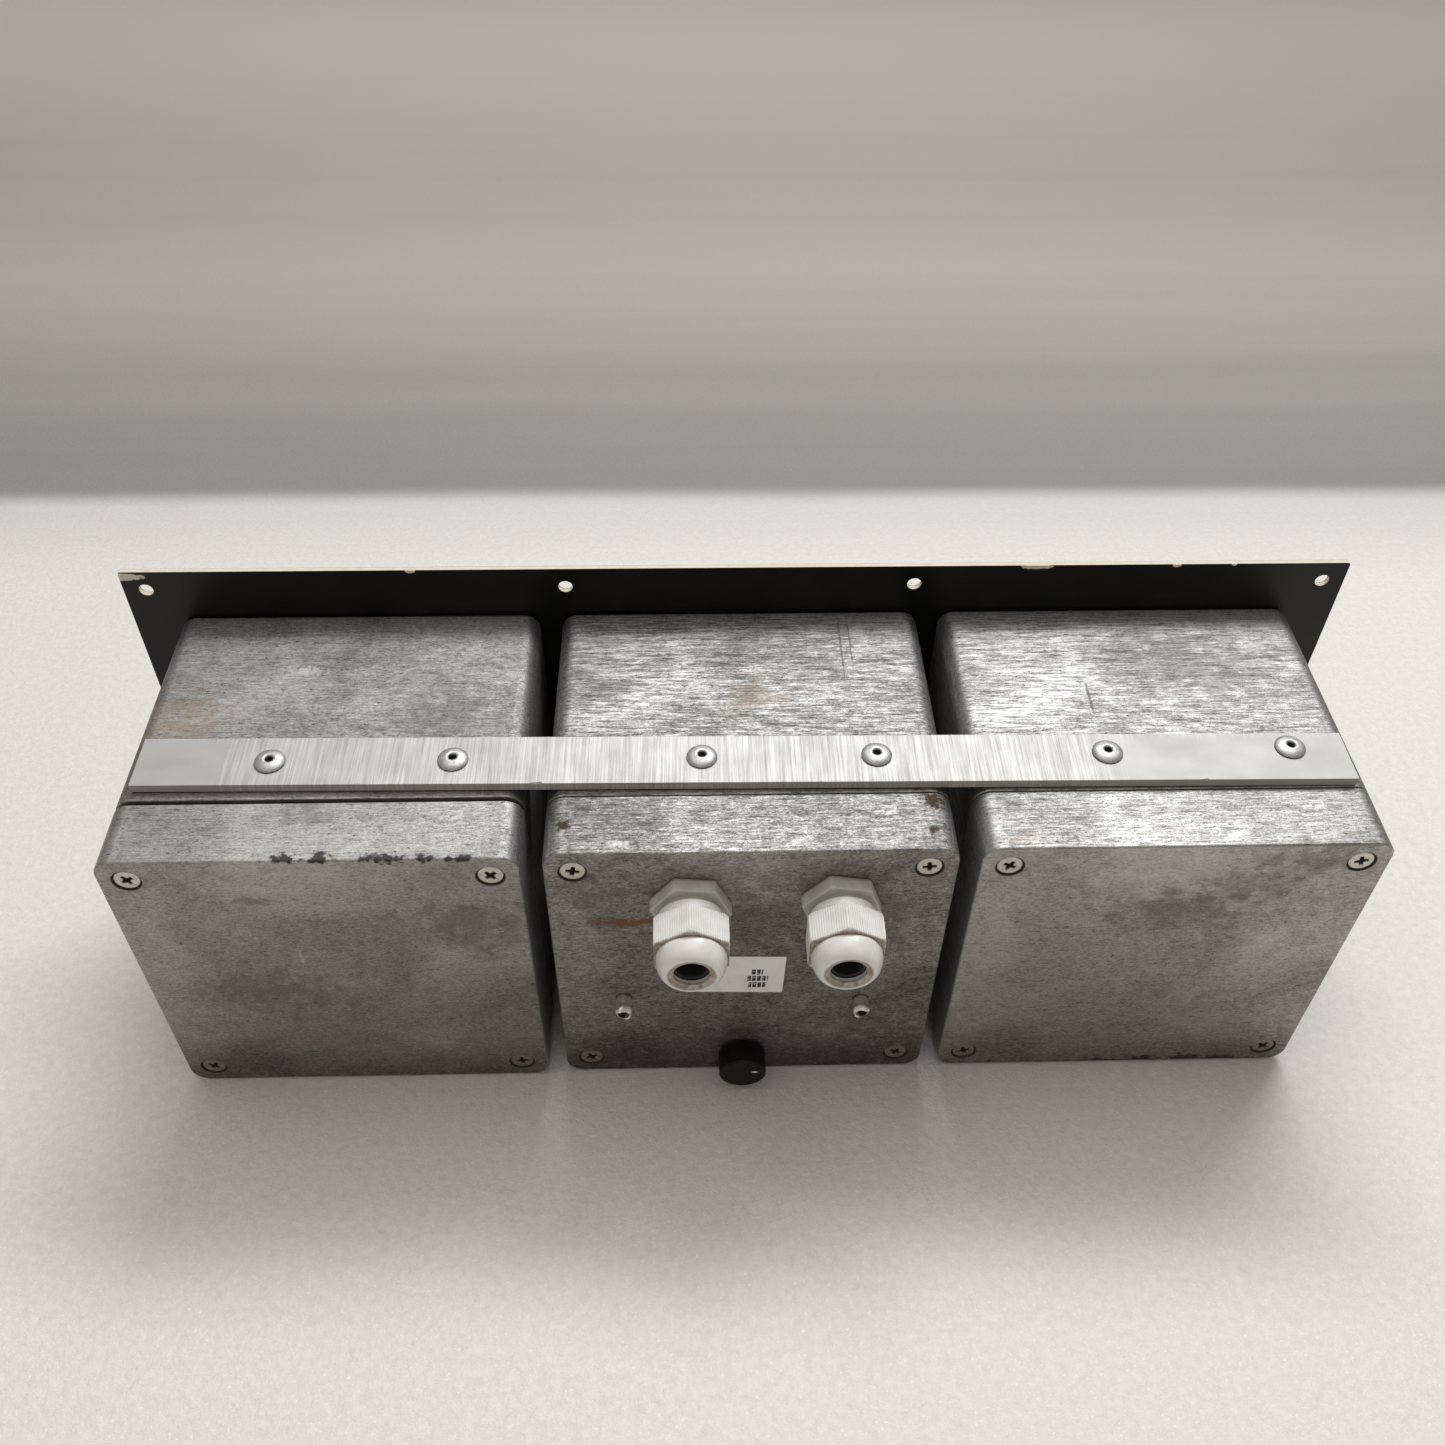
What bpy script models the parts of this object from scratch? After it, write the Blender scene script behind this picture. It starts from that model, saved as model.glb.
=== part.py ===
"""A rack-style audio patch bay: three die-cast boxes of jack sockets behind one laminate panel.

The panel stands upright with its front towards -Y, and the boxes reach back towards +Y.
The origin is the middle of the bounding box's underside. Left and right are as seen from the front.
"""

import math

import bmesh
import bpy
from mathutils import Matrix, Vector

MM = 0.001
FIT_GAP = 0.3 * MM

PANEL_WIDTH = 415 * MM
PANEL_HEIGHT = 157 * MM
PANEL_THICKNESS = 2.0 * MM
PANEL_CORNER = 1.0 * MM
PANEL_HOLE_RADIUS = 2.45 * MM
PANEL_HOLE_EDGE = 7.6 * MM
PANEL_HOLE_INNER_X = 59.3 * MM
CENTRE_Z = PANEL_HEIGHT / 2

BOX_WIDTH = 123.6 * MM
BOX_HEIGHT = 120.1 * MM
BOX_PITCH = 130.0 * MM
BOX_CORNER = 6.0 * MM
BOX_DEPTH = 107.5 * MM
BOX_DRAFT = 1.2 * MM
BOX_EDGE = 1.8 * MM
WALL = 3.0 * MM
BASE_WALL = 3.5 * MM
LID_FACE_WALL = 3.2 * MM
LID_RIM_DEPTH = 22.5 * MM
LID_EDGE = 0.9 * MM
LID_GAP = 0.35 * MM
RIGHT_LID_LIFT = 1.1 * MM
SCREW_X = 53.0 * MM
SCREW_Z = 51.8 * MM
COLUMN_RADIUS = 6.4 * MM
GASKET_INSET = 1.6 * MM
GASKET_WIDTH = 1.7 * MM
REBATE_DEPTH = 1.6 * MM

SCREW_RADIUS = 1.9 * MM
SCREW_HEAD_RADIUS = 3.85 * MM
SCREW_HEAD_DEPTH = 2.1 * MM
SCREW_LENGTH = 34.0 * MM
SCREW_RECESS = 0.35 * MM

STRIP_LENGTH = 373.0 * MM
STRIP_WIDTH = 19.5 * MM
STRIP_THICKNESS = 3.0 * MM
STRIP_DEPTH = 73.15 * MM
STRIP_SKEW = math.radians(-0.46)
STRIP_RIVETS = (
    (-168.9 * MM, 71.2 * MM),
    (-111.4 * MM, 72.4 * MM),
    (-39.7 * MM, 72.4 * MM),
    (14.2 * MM, 72.4 * MM),
    (90.4 * MM, 72.4 * MM),
    (146.0 * MM, 72.4 * MM),
)
RIVET_RADIUS = 2.3 * MM
RIVET_DOME_RADIUS = 4.75 * MM
RIVET_DOME_HEIGHT = 1.5 * MM
RIVET_MOUTH_RADIUS = 1.5 * MM

GLAND_X = {"left": -27.6 * MM, "right": 18.1 * MM}
GLAND_Z = CENTRE_Z + 37.1 * MM
GLAND_HEX_TURN = {"left": math.radians(11.0), "right": math.radians(6.2)}
GLAND_FLATS = 22.0 * MM
GLAND_HEX_THICKNESS = 4.7 * MM
GLAND_THREAD_RADIUS = 7.8 * MM
GLAND_SLEEVE_RADIUS = 8.4 * MM
GLAND_BORE = 6.3 * MM
GLAND_SEAL_SEAT = 7.3 * MM
GLAND_SEAL_BORE = 4.2 * MM
GLAND_HEIGHT = 27.4 * MM
GLAND_MOUTH = 5.35 * MM

KNOB_X = 0.9 * MM
KNOB_Z = CENTRE_Z - 48.6 * MM
KNOB_RADIUS = 8.2 * MM
KNOB_HEIGHT = 8.3 * MM
SHAFT_RADIUS = 3.0 * MM
POT_BUSH_RADIUS = 4.0 * MM
POT_CAN_RADIUS = 8.5 * MM
POT_CAN_DEPTH = 9.0 * MM
POT_NUT_FLATS = 11.0 * MM
POT_NUT_THICKNESS = 2.0 * MM

BRACKET_RIVETS = ((-37.9 * MM, -17.4 * MM, 6.0 * MM), (40.4 * MM, -14.6 * MM, 7.0 * MM))
BRACKET_WIDTH = 94 * MM
BRACKET_SHEET = 1.5 * MM
BRACKET_TOP = -7.0 * MM
BRACKET_FLANGE = 17 * MM
BRACKET_SHELF = 40 * MM
BOARD_SIZE = (84 * MM, 46 * MM, 1.6 * MM)

LABEL_SIZE = (28 * MM, 20 * MM, 0.15 * MM)
LABEL_PLACE = (2.0 * MM, CENTRE_Z - 2.2 * MM)
LABEL_TURN = math.radians(-2.0)
LABEL_GAP = 0.1 * MM

BUSH_DEPTH = 58 * MM
BUSH_Z = CENTRE_Z - 18 * MM
BUSH_RADIUS = 7.0 * MM
BUSH_BORE = 5.0 * MM
BUSH_LENGTH = 22 * MM

JACK_PITCH_X = 52 * MM
JACK_PITCH_Z = 52 * MM
JACK_NOSE_RADIUS = 4.6 * MM
JACK_BORE_RADIUS = 3.25 * MM
JACK_NOSE_REACH = 3.4 * MM
JACK_HOUSING = 16.0 * MM
JACK_DEPTH = 32 * MM

FRONT_REACH = PANEL_THICKNESS + JACK_NOSE_REACH
REAR_REACH = BOX_DEPTH + GLAND_HEIGHT
PANEL_BACK_Y = (FRONT_REACH - REAR_REACH) / 2
LID_Y = PANEL_BACK_Y + BOX_DEPTH

BOX_X = {"left": -BOX_PITCH, "middle": 0.0, "right": BOX_PITCH}
LID_LIFT = {"left": 0.0, "middle": 0.0, "right": RIGHT_LID_LIFT}

SIDES = 24
HOLE_SIDES = 12
FASTENER_SIDES = 12
CORNER_STEPS = 3
EDGE_STEPS = 2
COLUMN_STEPS = 5

FINISHES = {
    "panel_laminate": ((0.018, 0.018, 0.020), 0.45, 0.0),
    "cast_aluminium": ((0.42, 0.42, 0.41), 0.48, 0.9),
    "brushed_strip": ((0.70, 0.70, 0.69), 0.38, 1.0),
    "screw_steel": ((0.62, 0.60, 0.57), 0.35, 1.0),
    "rivet_aluminium": ((0.62, 0.62, 0.62), 0.35, 1.0),
    "gasket_rubber": ((0.02, 0.02, 0.02), 0.8, 0.0),
    "gland_grey": ((0.62, 0.63, 0.61), 0.45, 0.0),
    "gland_white": ((0.80, 0.80, 0.78), 0.32, 0.0),
    "seal_rubber": ((0.015, 0.015, 0.015), 0.7, 0.0),
    "knob_plastic": ((0.012, 0.012, 0.012), 0.4, 0.0),
    "plated_steel": ((0.60, 0.59, 0.55), 0.35, 1.0),
    "circuit_board": ((0.10, 0.22, 0.10), 0.5, 0.0),
    "label_paper": ((0.85, 0.86, 0.86), 0.6, 0.0),
    "jack_nylon": ((0.03, 0.03, 0.03), 0.45, 0.0),
}


def clear_scene():
    for item in list(bpy.data.objects):
        bpy.data.objects.remove(item)


def finish(slot):
    """The material of one finish, made the first time it is asked for."""
    if slot in bpy.data.materials:
        return bpy.data.materials[slot]
    colour, roughness, metallic = FINISHES[slot]
    made = bpy.data.materials.new(slot)
    made.use_nodes = True
    shader = made.node_tree.nodes["Principled BSDF"]
    shader.inputs["Base Color"].default_value = (*colour, 1)
    shader.inputs["Roughness"].default_value = roughness
    shader.inputs["Metallic"].default_value = metallic
    return made


def place(name, bm, slot, location=(0, 0, 0), smooth=True):
    """Makes an object of a bmesh, whose points are measured from location."""
    bmesh.ops.recalc_face_normals(bm, faces=bm.faces)
    mesh = bpy.data.meshes.new(name)
    bm.to_mesh(mesh)
    bm.free()
    if smooth:
        mesh.shade_smooth()
        mesh.set_sharp_from_angle(angle=math.radians(32))
    made = bpy.data.objects.new(name, mesh)
    made.location = location
    if slot:
        mesh.materials.append(finish(slot))
    bpy.context.scene.collection.objects.link(made)
    return made


def circle(radius, sides=SIDES, first=0.0):
    """A round outline in X and Z, its first side starting at the given angle in degrees."""
    start = math.radians(first)
    angles = [start + math.tau * (step + 0.5) / sides for step in range(sides)]
    return [(radius * math.cos(a), radius * math.sin(a)) for a in angles]


def hexagon(across_flats, turn=0.0, corner_radius=None):
    """A six-sided outline with its first corner at the given turn, its corners cut at corner_radius."""
    points = []
    for step in range(SIDES):
        angle = math.tau * step / SIDES
        from_flat = (angle + math.pi / 6) % (math.pi / 3) - math.pi / 6
        radius = across_flats / 2 / math.cos(math.pi / 6 - abs(from_flat))
        radius = min(radius, corner_radius or radius)
        points.append((radius * math.cos(angle + turn), radius * math.sin(angle + turn)))
    return points


def rounded_rectangle(width, height, radius):
    """An outline in X and Z with CORNER_STEPS flats in each corner."""
    points = []
    for corner, (side_x, side_z) in enumerate(((1, -1), (1, 1), (-1, 1), (-1, -1))):
        for step in range(CORNER_STEPS + 1):
            angle = math.pi / 2 * (corner - 1 + step / CORNER_STEPS)
            x = side_x * (width / 2 - radius) + radius * math.cos(angle)
            z = side_z * (height / 2 - radius) + radius * math.sin(angle)
            points.append((x, z))
    return points


def stack(bm, outlines, closed=False):
    """Skins outlines of equal length, each given as (points in X and Z, Y), into one solid."""
    rings = [[bm.verts.new((x, y, z)) for x, z in points] for points, y in outlines]
    pairs = list(zip(rings, rings[1:]))
    if closed:
        pairs.append((rings[-1], rings[0]))
    else:
        bm.faces.new(rings[0])
        bm.faces.new(rings[-1])
    for near, far in pairs:
        for here in range(len(near)):
            there = (here + 1) % len(near)
            bm.faces.new((near[here], near[there], far[there], far[here]))
    return bm


def turned(bm, profile, centre=(0, 0, 0), axis="Y", sides=SIDES):
    """Adds a solid turned about an axis through centre. The profile is (radius, distance along) pairs."""
    turn = {
        "X": Matrix.Rotation(math.radians(-90), 4, "Z"),
        "Y": Matrix.Identity(4),
        "Z": Matrix.Rotation(math.radians(90), 4, "X"),
    }[axis]
    before = set(bm.verts)
    stack(bm, [(circle(radius, sides), along) for radius, along in profile])
    fresh = [vert for vert in bm.verts if vert not in before]
    bmesh.ops.transform(bm, matrix=Matrix.Translation(centre) @ turn, verts=fresh)
    return bm


def cut(target, bm):
    """Takes the solids of a bmesh, given in world space, out of the target."""
    cutter = place("cutter", bm, None, smooth=False)
    cutter.hide_render = True
    cutter.display_type = "WIRE"
    boolean = target.modifiers.new("cut", "BOOLEAN")
    boolean.operation = "DIFFERENCE"
    boolean.solver = "EXACT"
    boolean.object = cutter


def drill(target, places, radius, start, end, axis="Y", sides=HOLE_SIDES):
    """Drills a round hole at each place, from start to end along the axis."""
    bm = bmesh.new()
    for centre in places:
        turned(bm, [(radius, start), (radius, end)], centre, axis, sides)
    cut(target, bm)


def block(name, size, location, slot):
    """A plain sheet or bar with its centre at location."""
    bm = bmesh.new()
    bmesh.ops.create_cube(bm, size=1, matrix=Matrix.Diagonal((*size, 1)))
    return place(name, bm, slot, location, smooth=False)


def screw_places(side):
    """The four lid screw axes of one box, as points with Y = 0."""
    corners = ((-1, 1), (1, 1), (-1, -1), (1, -1))
    return [(BOX_X[side] + x * SCREW_X, 0, CENTRE_Z + z * SCREW_Z) for x, z in corners]


def jack_places(side):
    """The four jack axes of one box, as points with Y = 0."""
    corners = ((-1, 1), (1, 1), (-1, -1), (1, -1))
    return [
        (BOX_X[side] + x * JACK_PITCH_X / 2, 0, CENTRE_Z + z * JACK_PITCH_Z / 2)
        for x, z in corners
    ]


def make_panel():
    bm = bmesh.new()
    outline = rounded_rectangle(PANEL_WIDTH, PANEL_HEIGHT, PANEL_CORNER)
    stack(bm, [(outline, -PANEL_THICKNESS), (outline, 0)])
    panel = place("front_panel", bm, "panel_laminate", (0, PANEL_BACK_Y, CENTRE_Z))
    outer_x = PANEL_WIDTH / 2 - PANEL_HOLE_EDGE
    outer_z = PANEL_HEIGHT / 2 - PANEL_HOLE_EDGE
    columns = (-outer_x, -PANEL_HOLE_INNER_X, PANEL_HOLE_INNER_X, outer_x)
    fixings = [(x, 0, CENTRE_Z + z) for x in columns for z in (-outer_z, outer_z)]
    front = PANEL_BACK_Y - 2 * PANEL_THICKNESS
    back = PANEL_BACK_Y + PANEL_THICKNESS
    drill(panel, fixings, PANEL_HOLE_RADIUS, front, back)
    jacks = [centre for side in BOX_X for centre in jack_places(side)]
    drill(panel, jacks, JACK_NOSE_RADIUS + FIT_GAP, front, back)


def rounded_block(name, open_end, shut_end, edge, draft, location):
    """A box-shaped casting, sharp at its open end and rounded where it is shut."""
    inward = math.copysign(edge, open_end - shut_end)
    outlines = [(rounded_rectangle(BOX_WIDTH, BOX_HEIGHT, BOX_CORNER), open_end)]
    for step in range(EDGE_STEPS + 1):
        angle = math.pi / 2 * step / EDGE_STEPS
        inset = draft + edge * (1 - math.cos(angle))
        width = BOX_WIDTH - 2 * inset
        height = BOX_HEIGHT - 2 * inset
        outline = rounded_rectangle(width, height, BOX_CORNER - inset)
        outlines.append((outline, shut_end + inward * (1 - math.sin(angle))))
    bm = stack(bmesh.new(), outlines)
    return place(name, bm, "cast_aluminium", location)


def pocket_outline(wall):
    """The inside of a box wall, which bends round a screw column in each corner."""
    to_side = BOX_WIDTH / 2 - wall - SCREW_X
    to_top = BOX_HEIGHT / 2 - wall - SCREW_Z
    start = -math.acos(to_side / COLUMN_RADIUS)
    end = -math.pi - math.asin(to_top / COLUMN_RADIUS)
    turn = (end - start) / COLUMN_STEPS
    angles = [start + turn * step for step in range(COLUMN_STEPS + 1)]
    quarter = [
        (SCREW_X + COLUMN_RADIUS * math.cos(a), SCREW_Z + COLUMN_RADIUS * math.sin(a))
        for a in angles
    ]
    back = list(reversed(quarter))
    return (
        quarter
        + [(-x, z) for x, z in back]
        + [(-x, -z) for x, z in quarter]
        + [(x, -z) for x, z in back]
    )


def cut_pocket(target, side, start, end, wall):
    outline = [(x + BOX_X[side], z + CENTRE_Z) for x, z in pocket_outline(wall)]
    cut(target, stack(bmesh.new(), [(outline, start), (outline, end)]))


def make_box(side):
    """The cast body of one box, open towards the lid, with a column for each lid screw."""
    rim = BOX_DEPTH - LID_RIM_DEPTH - LID_GAP
    location = (BOX_X[side], PANEL_BACK_Y, CENTRE_Z)
    box = rounded_block(f"{side}_box", rim, FIT_GAP, BOX_EDGE, BOX_DRAFT / 2, location)
    rim_y = PANEL_BACK_Y + rim
    floor_y = PANEL_BACK_Y + FIT_GAP + BASE_WALL
    cut_pocket(box, side, floor_y, rim_y + 5 * MM, WALL)
    screw_end = LID_Y - SCREW_LENGTH - 3 * MM
    drill(box, screw_places(side), SCREW_RADIUS + FIT_GAP, screw_end, rim_y + 5 * MM)
    jack_hole = JACK_NOSE_RADIUS + FIT_GAP
    drill(box, jack_places(side), jack_hole, PANEL_BACK_Y - 5 * MM, floor_y + 5 * MM)
    top = CENTRE_Z + BOX_HEIGHT / 2
    rivets = [
        (x, PANEL_BACK_Y + depth, top)
        for x, depth in STRIP_RIVETS
        if abs(x - BOX_X[side]) < BOX_WIDTH / 2
    ]
    drill(box, rivets, RIVET_RADIUS + FIT_GAP, -3 * WALL, 3 * WALL, "Z")
    for bush_x in (-BOX_PITCH / 2, BOX_PITCH / 2):
        if abs(bush_x - BOX_X[side]) < BOX_PITCH * 0.75:
            centre = (bush_x, PANEL_BACK_Y + BUSH_DEPTH, BUSH_Z)
            drill(box, [centre], BUSH_RADIUS + FIT_GAP, -12 * MM, 12 * MM, "X")


def make_lid(side):
    """The deep lid of one box, with countersunk screw holes and a rebate for the gasket."""
    face_y = LID_Y + LID_LIFT[side]
    rim_y = face_y - LID_RIM_DEPTH
    location = (BOX_X[side], face_y, CENTRE_Z)
    lid = rounded_block(f"{side}_lid", -LID_RIM_DEPTH, 0, LID_EDGE, 0, location)
    cut_pocket(lid, side, rim_y - 5 * MM, face_y - LID_FACE_WALL, WALL)
    inset = GASKET_INSET - FIT_GAP
    rebate = rounded_rectangle(BOX_WIDTH - 2 * inset, BOX_HEIGHT - 2 * inset, BOX_CORNER - inset)
    rebate = [(x + BOX_X[side], z + CENTRE_Z) for x, z in rebate]
    cut(lid, stack(bmesh.new(), [(rebate, rim_y - 5 * MM), (rebate, rim_y + REBATE_DEPTH)]))
    shank = SCREW_RADIUS + FIT_GAP
    head = SCREW_HEAD_RADIUS + FIT_GAP + 0.1 * MM
    head_end = face_y - SCREW_RECESS - SCREW_HEAD_DEPTH
    bm = bmesh.new()
    for centre in screw_places(side):
        profile = [
            (shank, rim_y - 5 * MM),
            (shank, head_end - 2 * FIT_GAP),
            (head, face_y - SCREW_RECESS),
            (head, face_y + 5 * MM),
        ]
        turned(bm, profile, centre, sides=HOLE_SIDES)
    cut(lid, bm)
    return lid


def fit_middle_lid(lid):
    """Drills the middle lid for the cable glands, the level control and the bracket rivets."""
    glands = [(x, 0, GLAND_Z) for x in GLAND_X.values()]
    near = LID_Y - 2 * LID_FACE_WALL
    far = LID_Y + 5 * MM
    drill(lid, glands, GLAND_THREAD_RADIUS + FIT_GAP, near, far, sides=SIDES)
    drill(lid, [(KNOB_X, 0, KNOB_Z)], POT_BUSH_RADIUS + FIT_GAP, near, far)
    rivets = [(x, 0, CENTRE_Z + z) for x, z, _ in BRACKET_RIVETS]
    drill(lid, rivets, RIVET_RADIUS + FIT_GAP, near, far)


def make_gasket(side):
    """The flat rubber ring that seals one lid, lying on the rim of the box."""
    outer = rounded_rectangle(
        BOX_WIDTH - 2 * GASKET_INSET, BOX_HEIGHT - 2 * GASKET_INSET, BOX_CORNER - GASKET_INSET
    )
    inset = GASKET_INSET + GASKET_WIDTH
    inner = rounded_rectangle(BOX_WIDTH - 2 * inset, BOX_HEIGHT - 2 * inset, BOX_CORNER - inset)
    start = BOX_DEPTH - LID_RIM_DEPTH - LID_GAP + FIT_GAP
    end = BOX_DEPTH - LID_RIM_DEPTH + REBATE_DEPTH - FIT_GAP
    bm = stack(bmesh.new(), [(outer, start), (outer, end), (inner, end), (inner, start)], True)
    place(f"{side}_gasket", bm, "gasket_rubber", (BOX_X[side], PANEL_BACK_Y, CENTRE_Z))


def make_lid_screws(side):
    face_y = LID_Y + LID_LIFT[side] - SCREW_RECESS
    profile = [
        (SCREW_HEAD_RADIUS, 0),
        (SCREW_RADIUS, -SCREW_HEAD_DEPTH),
        (SCREW_RADIUS, -SCREW_LENGTH),
    ]
    for number, (x, _, z) in enumerate(screw_places(side), 1):
        bm = turned(bmesh.new(), profile, sides=FASTENER_SIDES)
        place(f"{side}_lid_screw_{number}", bm, "screw_steel", (x, face_y, z))


def make_strip():
    """The flat bar riveted across the three boxes, set down slightly out of square."""
    top = CENTRE_Z + BOX_HEIGHT / 2
    location = (0, PANEL_BACK_Y + STRIP_DEPTH, top + FIT_GAP + STRIP_THICKNESS / 2)
    strip = block("tie_strip", (STRIP_LENGTH, STRIP_WIDTH, STRIP_THICKNESS), location, "brushed_strip")
    strip.rotation_euler.z = STRIP_SKEW
    places = [(x, PANEL_BACK_Y + depth, top) for x, depth in STRIP_RIVETS]
    drill(strip, places, RIVET_RADIUS + FIT_GAP, -5 * MM, 9 * MM, "Z")


def blind_rivet(grip, tail_length, tail_radius):
    """A set blind rivet standing along its own axis: dome at the start, crimped tail past the grip."""
    mouth = RIVET_MOUTH_RADIUS
    dome = RIVET_DOME_HEIGHT
    return [
        (mouth, -dome + 1.6 * MM),
        (mouth, -dome),
        (RIVET_DOME_RADIUS * 0.7, -dome * 0.8),
        (RIVET_DOME_RADIUS, 0),
        (RIVET_RADIUS, 0),
        (RIVET_RADIUS, grip),
        (tail_radius, grip),
        (tail_radius, grip + tail_length - 0.6 * MM),
        (tail_radius - 0.5 * MM, grip + tail_length),
    ]


def make_strip_rivets():
    grip = STRIP_THICKNESS + WALL + 4 * FIT_GAP
    top = CENTRE_Z + BOX_HEIGHT / 2 + STRIP_THICKNESS + 2 * FIT_GAP
    profile = [(radius, -along) for radius, along in blind_rivet(grip, 5 * MM, 2.9 * MM)]
    for number, (x, depth) in enumerate(STRIP_RIVETS, 1):
        bm = turned(bmesh.new(), profile, axis="Z", sides=FASTENER_SIDES)
        place(f"strip_rivet_{number}", bm, "rivet_aluminium", (x, PANEL_BACK_Y + depth, top))


def make_gland(side):
    """One cable gland: body through the lid, locknut inside, clamping nut and seal outside."""
    location = (GLAND_X[side], LID_Y, GLAND_Z)
    inner_end = -LID_FACE_WALL - 9 * MM
    sleeve_end = GLAND_HEIGHT - 8.8 * MM
    seat_start = GLAND_HEIGHT - 15.2 * MM
    hexagonal = hexagon(GLAND_FLATS, GLAND_HEX_TURN[side], 12.4 * MM)
    chamfered = [(x * 0.93, z * 0.93) for x, z in hexagonal]
    outlines = [
        (circle(GLAND_BORE), inner_end),
        (circle(GLAND_BORE), seat_start),
        (circle(GLAND_SEAL_SEAT), seat_start),
        (circle(GLAND_SEAL_SEAT), sleeve_end),
        (circle(GLAND_SLEEVE_RADIUS), sleeve_end),
        (circle(GLAND_SLEEVE_RADIUS), GLAND_HEX_THICKNESS),
        (chamfered, GLAND_HEX_THICKNESS),
        (hexagonal, GLAND_HEX_THICKNESS - 0.8 * MM),
        (hexagonal, FIT_GAP),
        (circle(GLAND_THREAD_RADIUS), FIT_GAP),
        (circle(GLAND_THREAD_RADIUS), inner_end),
    ]
    bm = stack(bmesh.new(), outlines, True)
    place(f"{side}_gland_body", bm, "gland_grey", location)
    make_gland_nut(side, location)
    make_gland_seal(side, location)
    lock_end = -LID_FACE_WALL - FIT_GAP
    locknut = [
        (circle(GLAND_THREAD_RADIUS + FIT_GAP), lock_end - 5 * MM),
        (circle(GLAND_THREAD_RADIUS + FIT_GAP), lock_end),
        (hexagon(GLAND_FLATS), lock_end),
        (hexagon(GLAND_FLATS), lock_end - 5 * MM),
    ]
    place(f"{side}_gland_locknut", stack(bmesh.new(), locknut, True), "gland_grey", location)


def make_gland_nut(side, location):
    """The domed clamping nut, which turns on the gland body's sleeve."""
    start = 6.6 * MM
    hex_start = 10.1 * MM
    hex_end = 20.5 * MM
    thread = GLAND_SLEEVE_RADIUS + FIT_GAP
    pocket = GLAND_SEAL_SEAT + 0.1 * MM
    pocket_start = GLAND_HEIGHT - 8.2 * MM
    pocket_end = GLAND_HEIGHT - 2.4 * MM
    hexagonal = hexagon(GLAND_FLATS + 0.3 * MM, math.pi / 2, 12.5 * MM)
    outlines = [
        (circle(thread), start),
        (circle(9.9 * MM), start),
        (circle(10.2 * MM), hex_start - 0.4 * MM),
        (hexagonal, hex_start),
        (hexagonal, hex_end),
        (circle(10.6 * MM), hex_end + 1.6 * MM),
        (circle(10.2 * MM), GLAND_HEIGHT - 3.2 * MM),
        (circle(9.2 * MM), GLAND_HEIGHT - 1.1 * MM),
        (circle(7.8 * MM), GLAND_HEIGHT),
        (circle(6.2 * MM), GLAND_HEIGHT - 0.8 * MM),
        (circle(GLAND_MOUTH), GLAND_HEIGHT - 0.9 * MM),
        (circle(GLAND_MOUTH), pocket_end),
        (circle(pocket), pocket_end),
        (circle(pocket), pocket_start),
        (circle(thread), pocket_start),
    ]
    place(f"{side}_gland_nut", stack(bmesh.new(), outlines, True), "gland_white", location)


def make_gland_seal(side, location):
    """The rubber sleeve that grips the cable, half in the gland body and half in the nut."""
    outer = GLAND_SEAL_SEAT - FIT_GAP
    start = GLAND_HEIGHT - 14.6 * MM
    end = GLAND_HEIGHT - 2.4 * MM - FIT_GAP
    outlines = [
        (circle(GLAND_SEAL_BORE, HOLE_SIDES), start),
        (circle(GLAND_SEAL_BORE, HOLE_SIDES), end),
        (circle(outer - 0.8 * MM, HOLE_SIDES), end),
        (circle(outer, HOLE_SIDES), end - 1 * MM),
        (circle(outer, HOLE_SIDES), start),
    ]
    place(f"{side}_gland_seal", stack(bmesh.new(), outlines, True), "seal_rubber", location)


def make_level_control():
    """The potentiometer inside the middle lid, with its nut, shaft and knob outside."""
    location = (KNOB_X, LID_Y, KNOB_Z)
    can_front = -LID_FACE_WALL - FIT_GAP
    can_back = can_front - POT_CAN_DEPTH
    bush_end = FIT_GAP + POT_NUT_THICKNESS + 0.4 * MM
    bore = SHAFT_RADIUS + 0.12 * MM
    body = [
        (bore, can_back + 3 * MM),
        (bore, bush_end),
        (POT_BUSH_RADIUS, bush_end),
        (POT_BUSH_RADIUS, can_front),
        (POT_CAN_RADIUS, can_front),
        (POT_CAN_RADIUS, can_back),
    ]
    place("level_pot", turned(bmesh.new(), body), "plated_steel", location)
    nut = [
        (circle(POT_BUSH_RADIUS + FIT_GAP), FIT_GAP),
        (hexagon(POT_NUT_FLATS), FIT_GAP),
        (hexagon(POT_NUT_FLATS), FIT_GAP + POT_NUT_THICKNESS),
        (circle(POT_BUSH_RADIUS + FIT_GAP), FIT_GAP + POT_NUT_THICKNESS),
    ]
    place("level_pot_nut", stack(bmesh.new(), nut, True), "plated_steel", location)
    start = 1.0 * MM
    end = start + KNOB_HEIGHT
    socket_end = end - 1.6 * MM
    shaft = [(SHAFT_RADIUS, can_back + 3.3 * MM), (SHAFT_RADIUS, socket_end - FIT_GAP)]
    place("level_pot_shaft", turned(bmesh.new(), shaft), "plated_steel", location)
    socket = SHAFT_RADIUS + FIT_GAP
    recess = 6.8 * MM
    recess_end = bush_end + 0.6 * MM
    knob = [
        (socket, socket_end),
        (socket, recess_end),
        (recess, recess_end),
        (recess, start),
        (KNOB_RADIUS - 0.3 * MM, start),
        (KNOB_RADIUS, start + 0.4 * MM),
        (KNOB_RADIUS - 0.15 * MM, end - 0.7 * MM),
        (KNOB_RADIUS - 0.8 * MM, end),
    ]
    place("level_knob", turned(bmesh.new(), knob), "knob_plastic", location)


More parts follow.
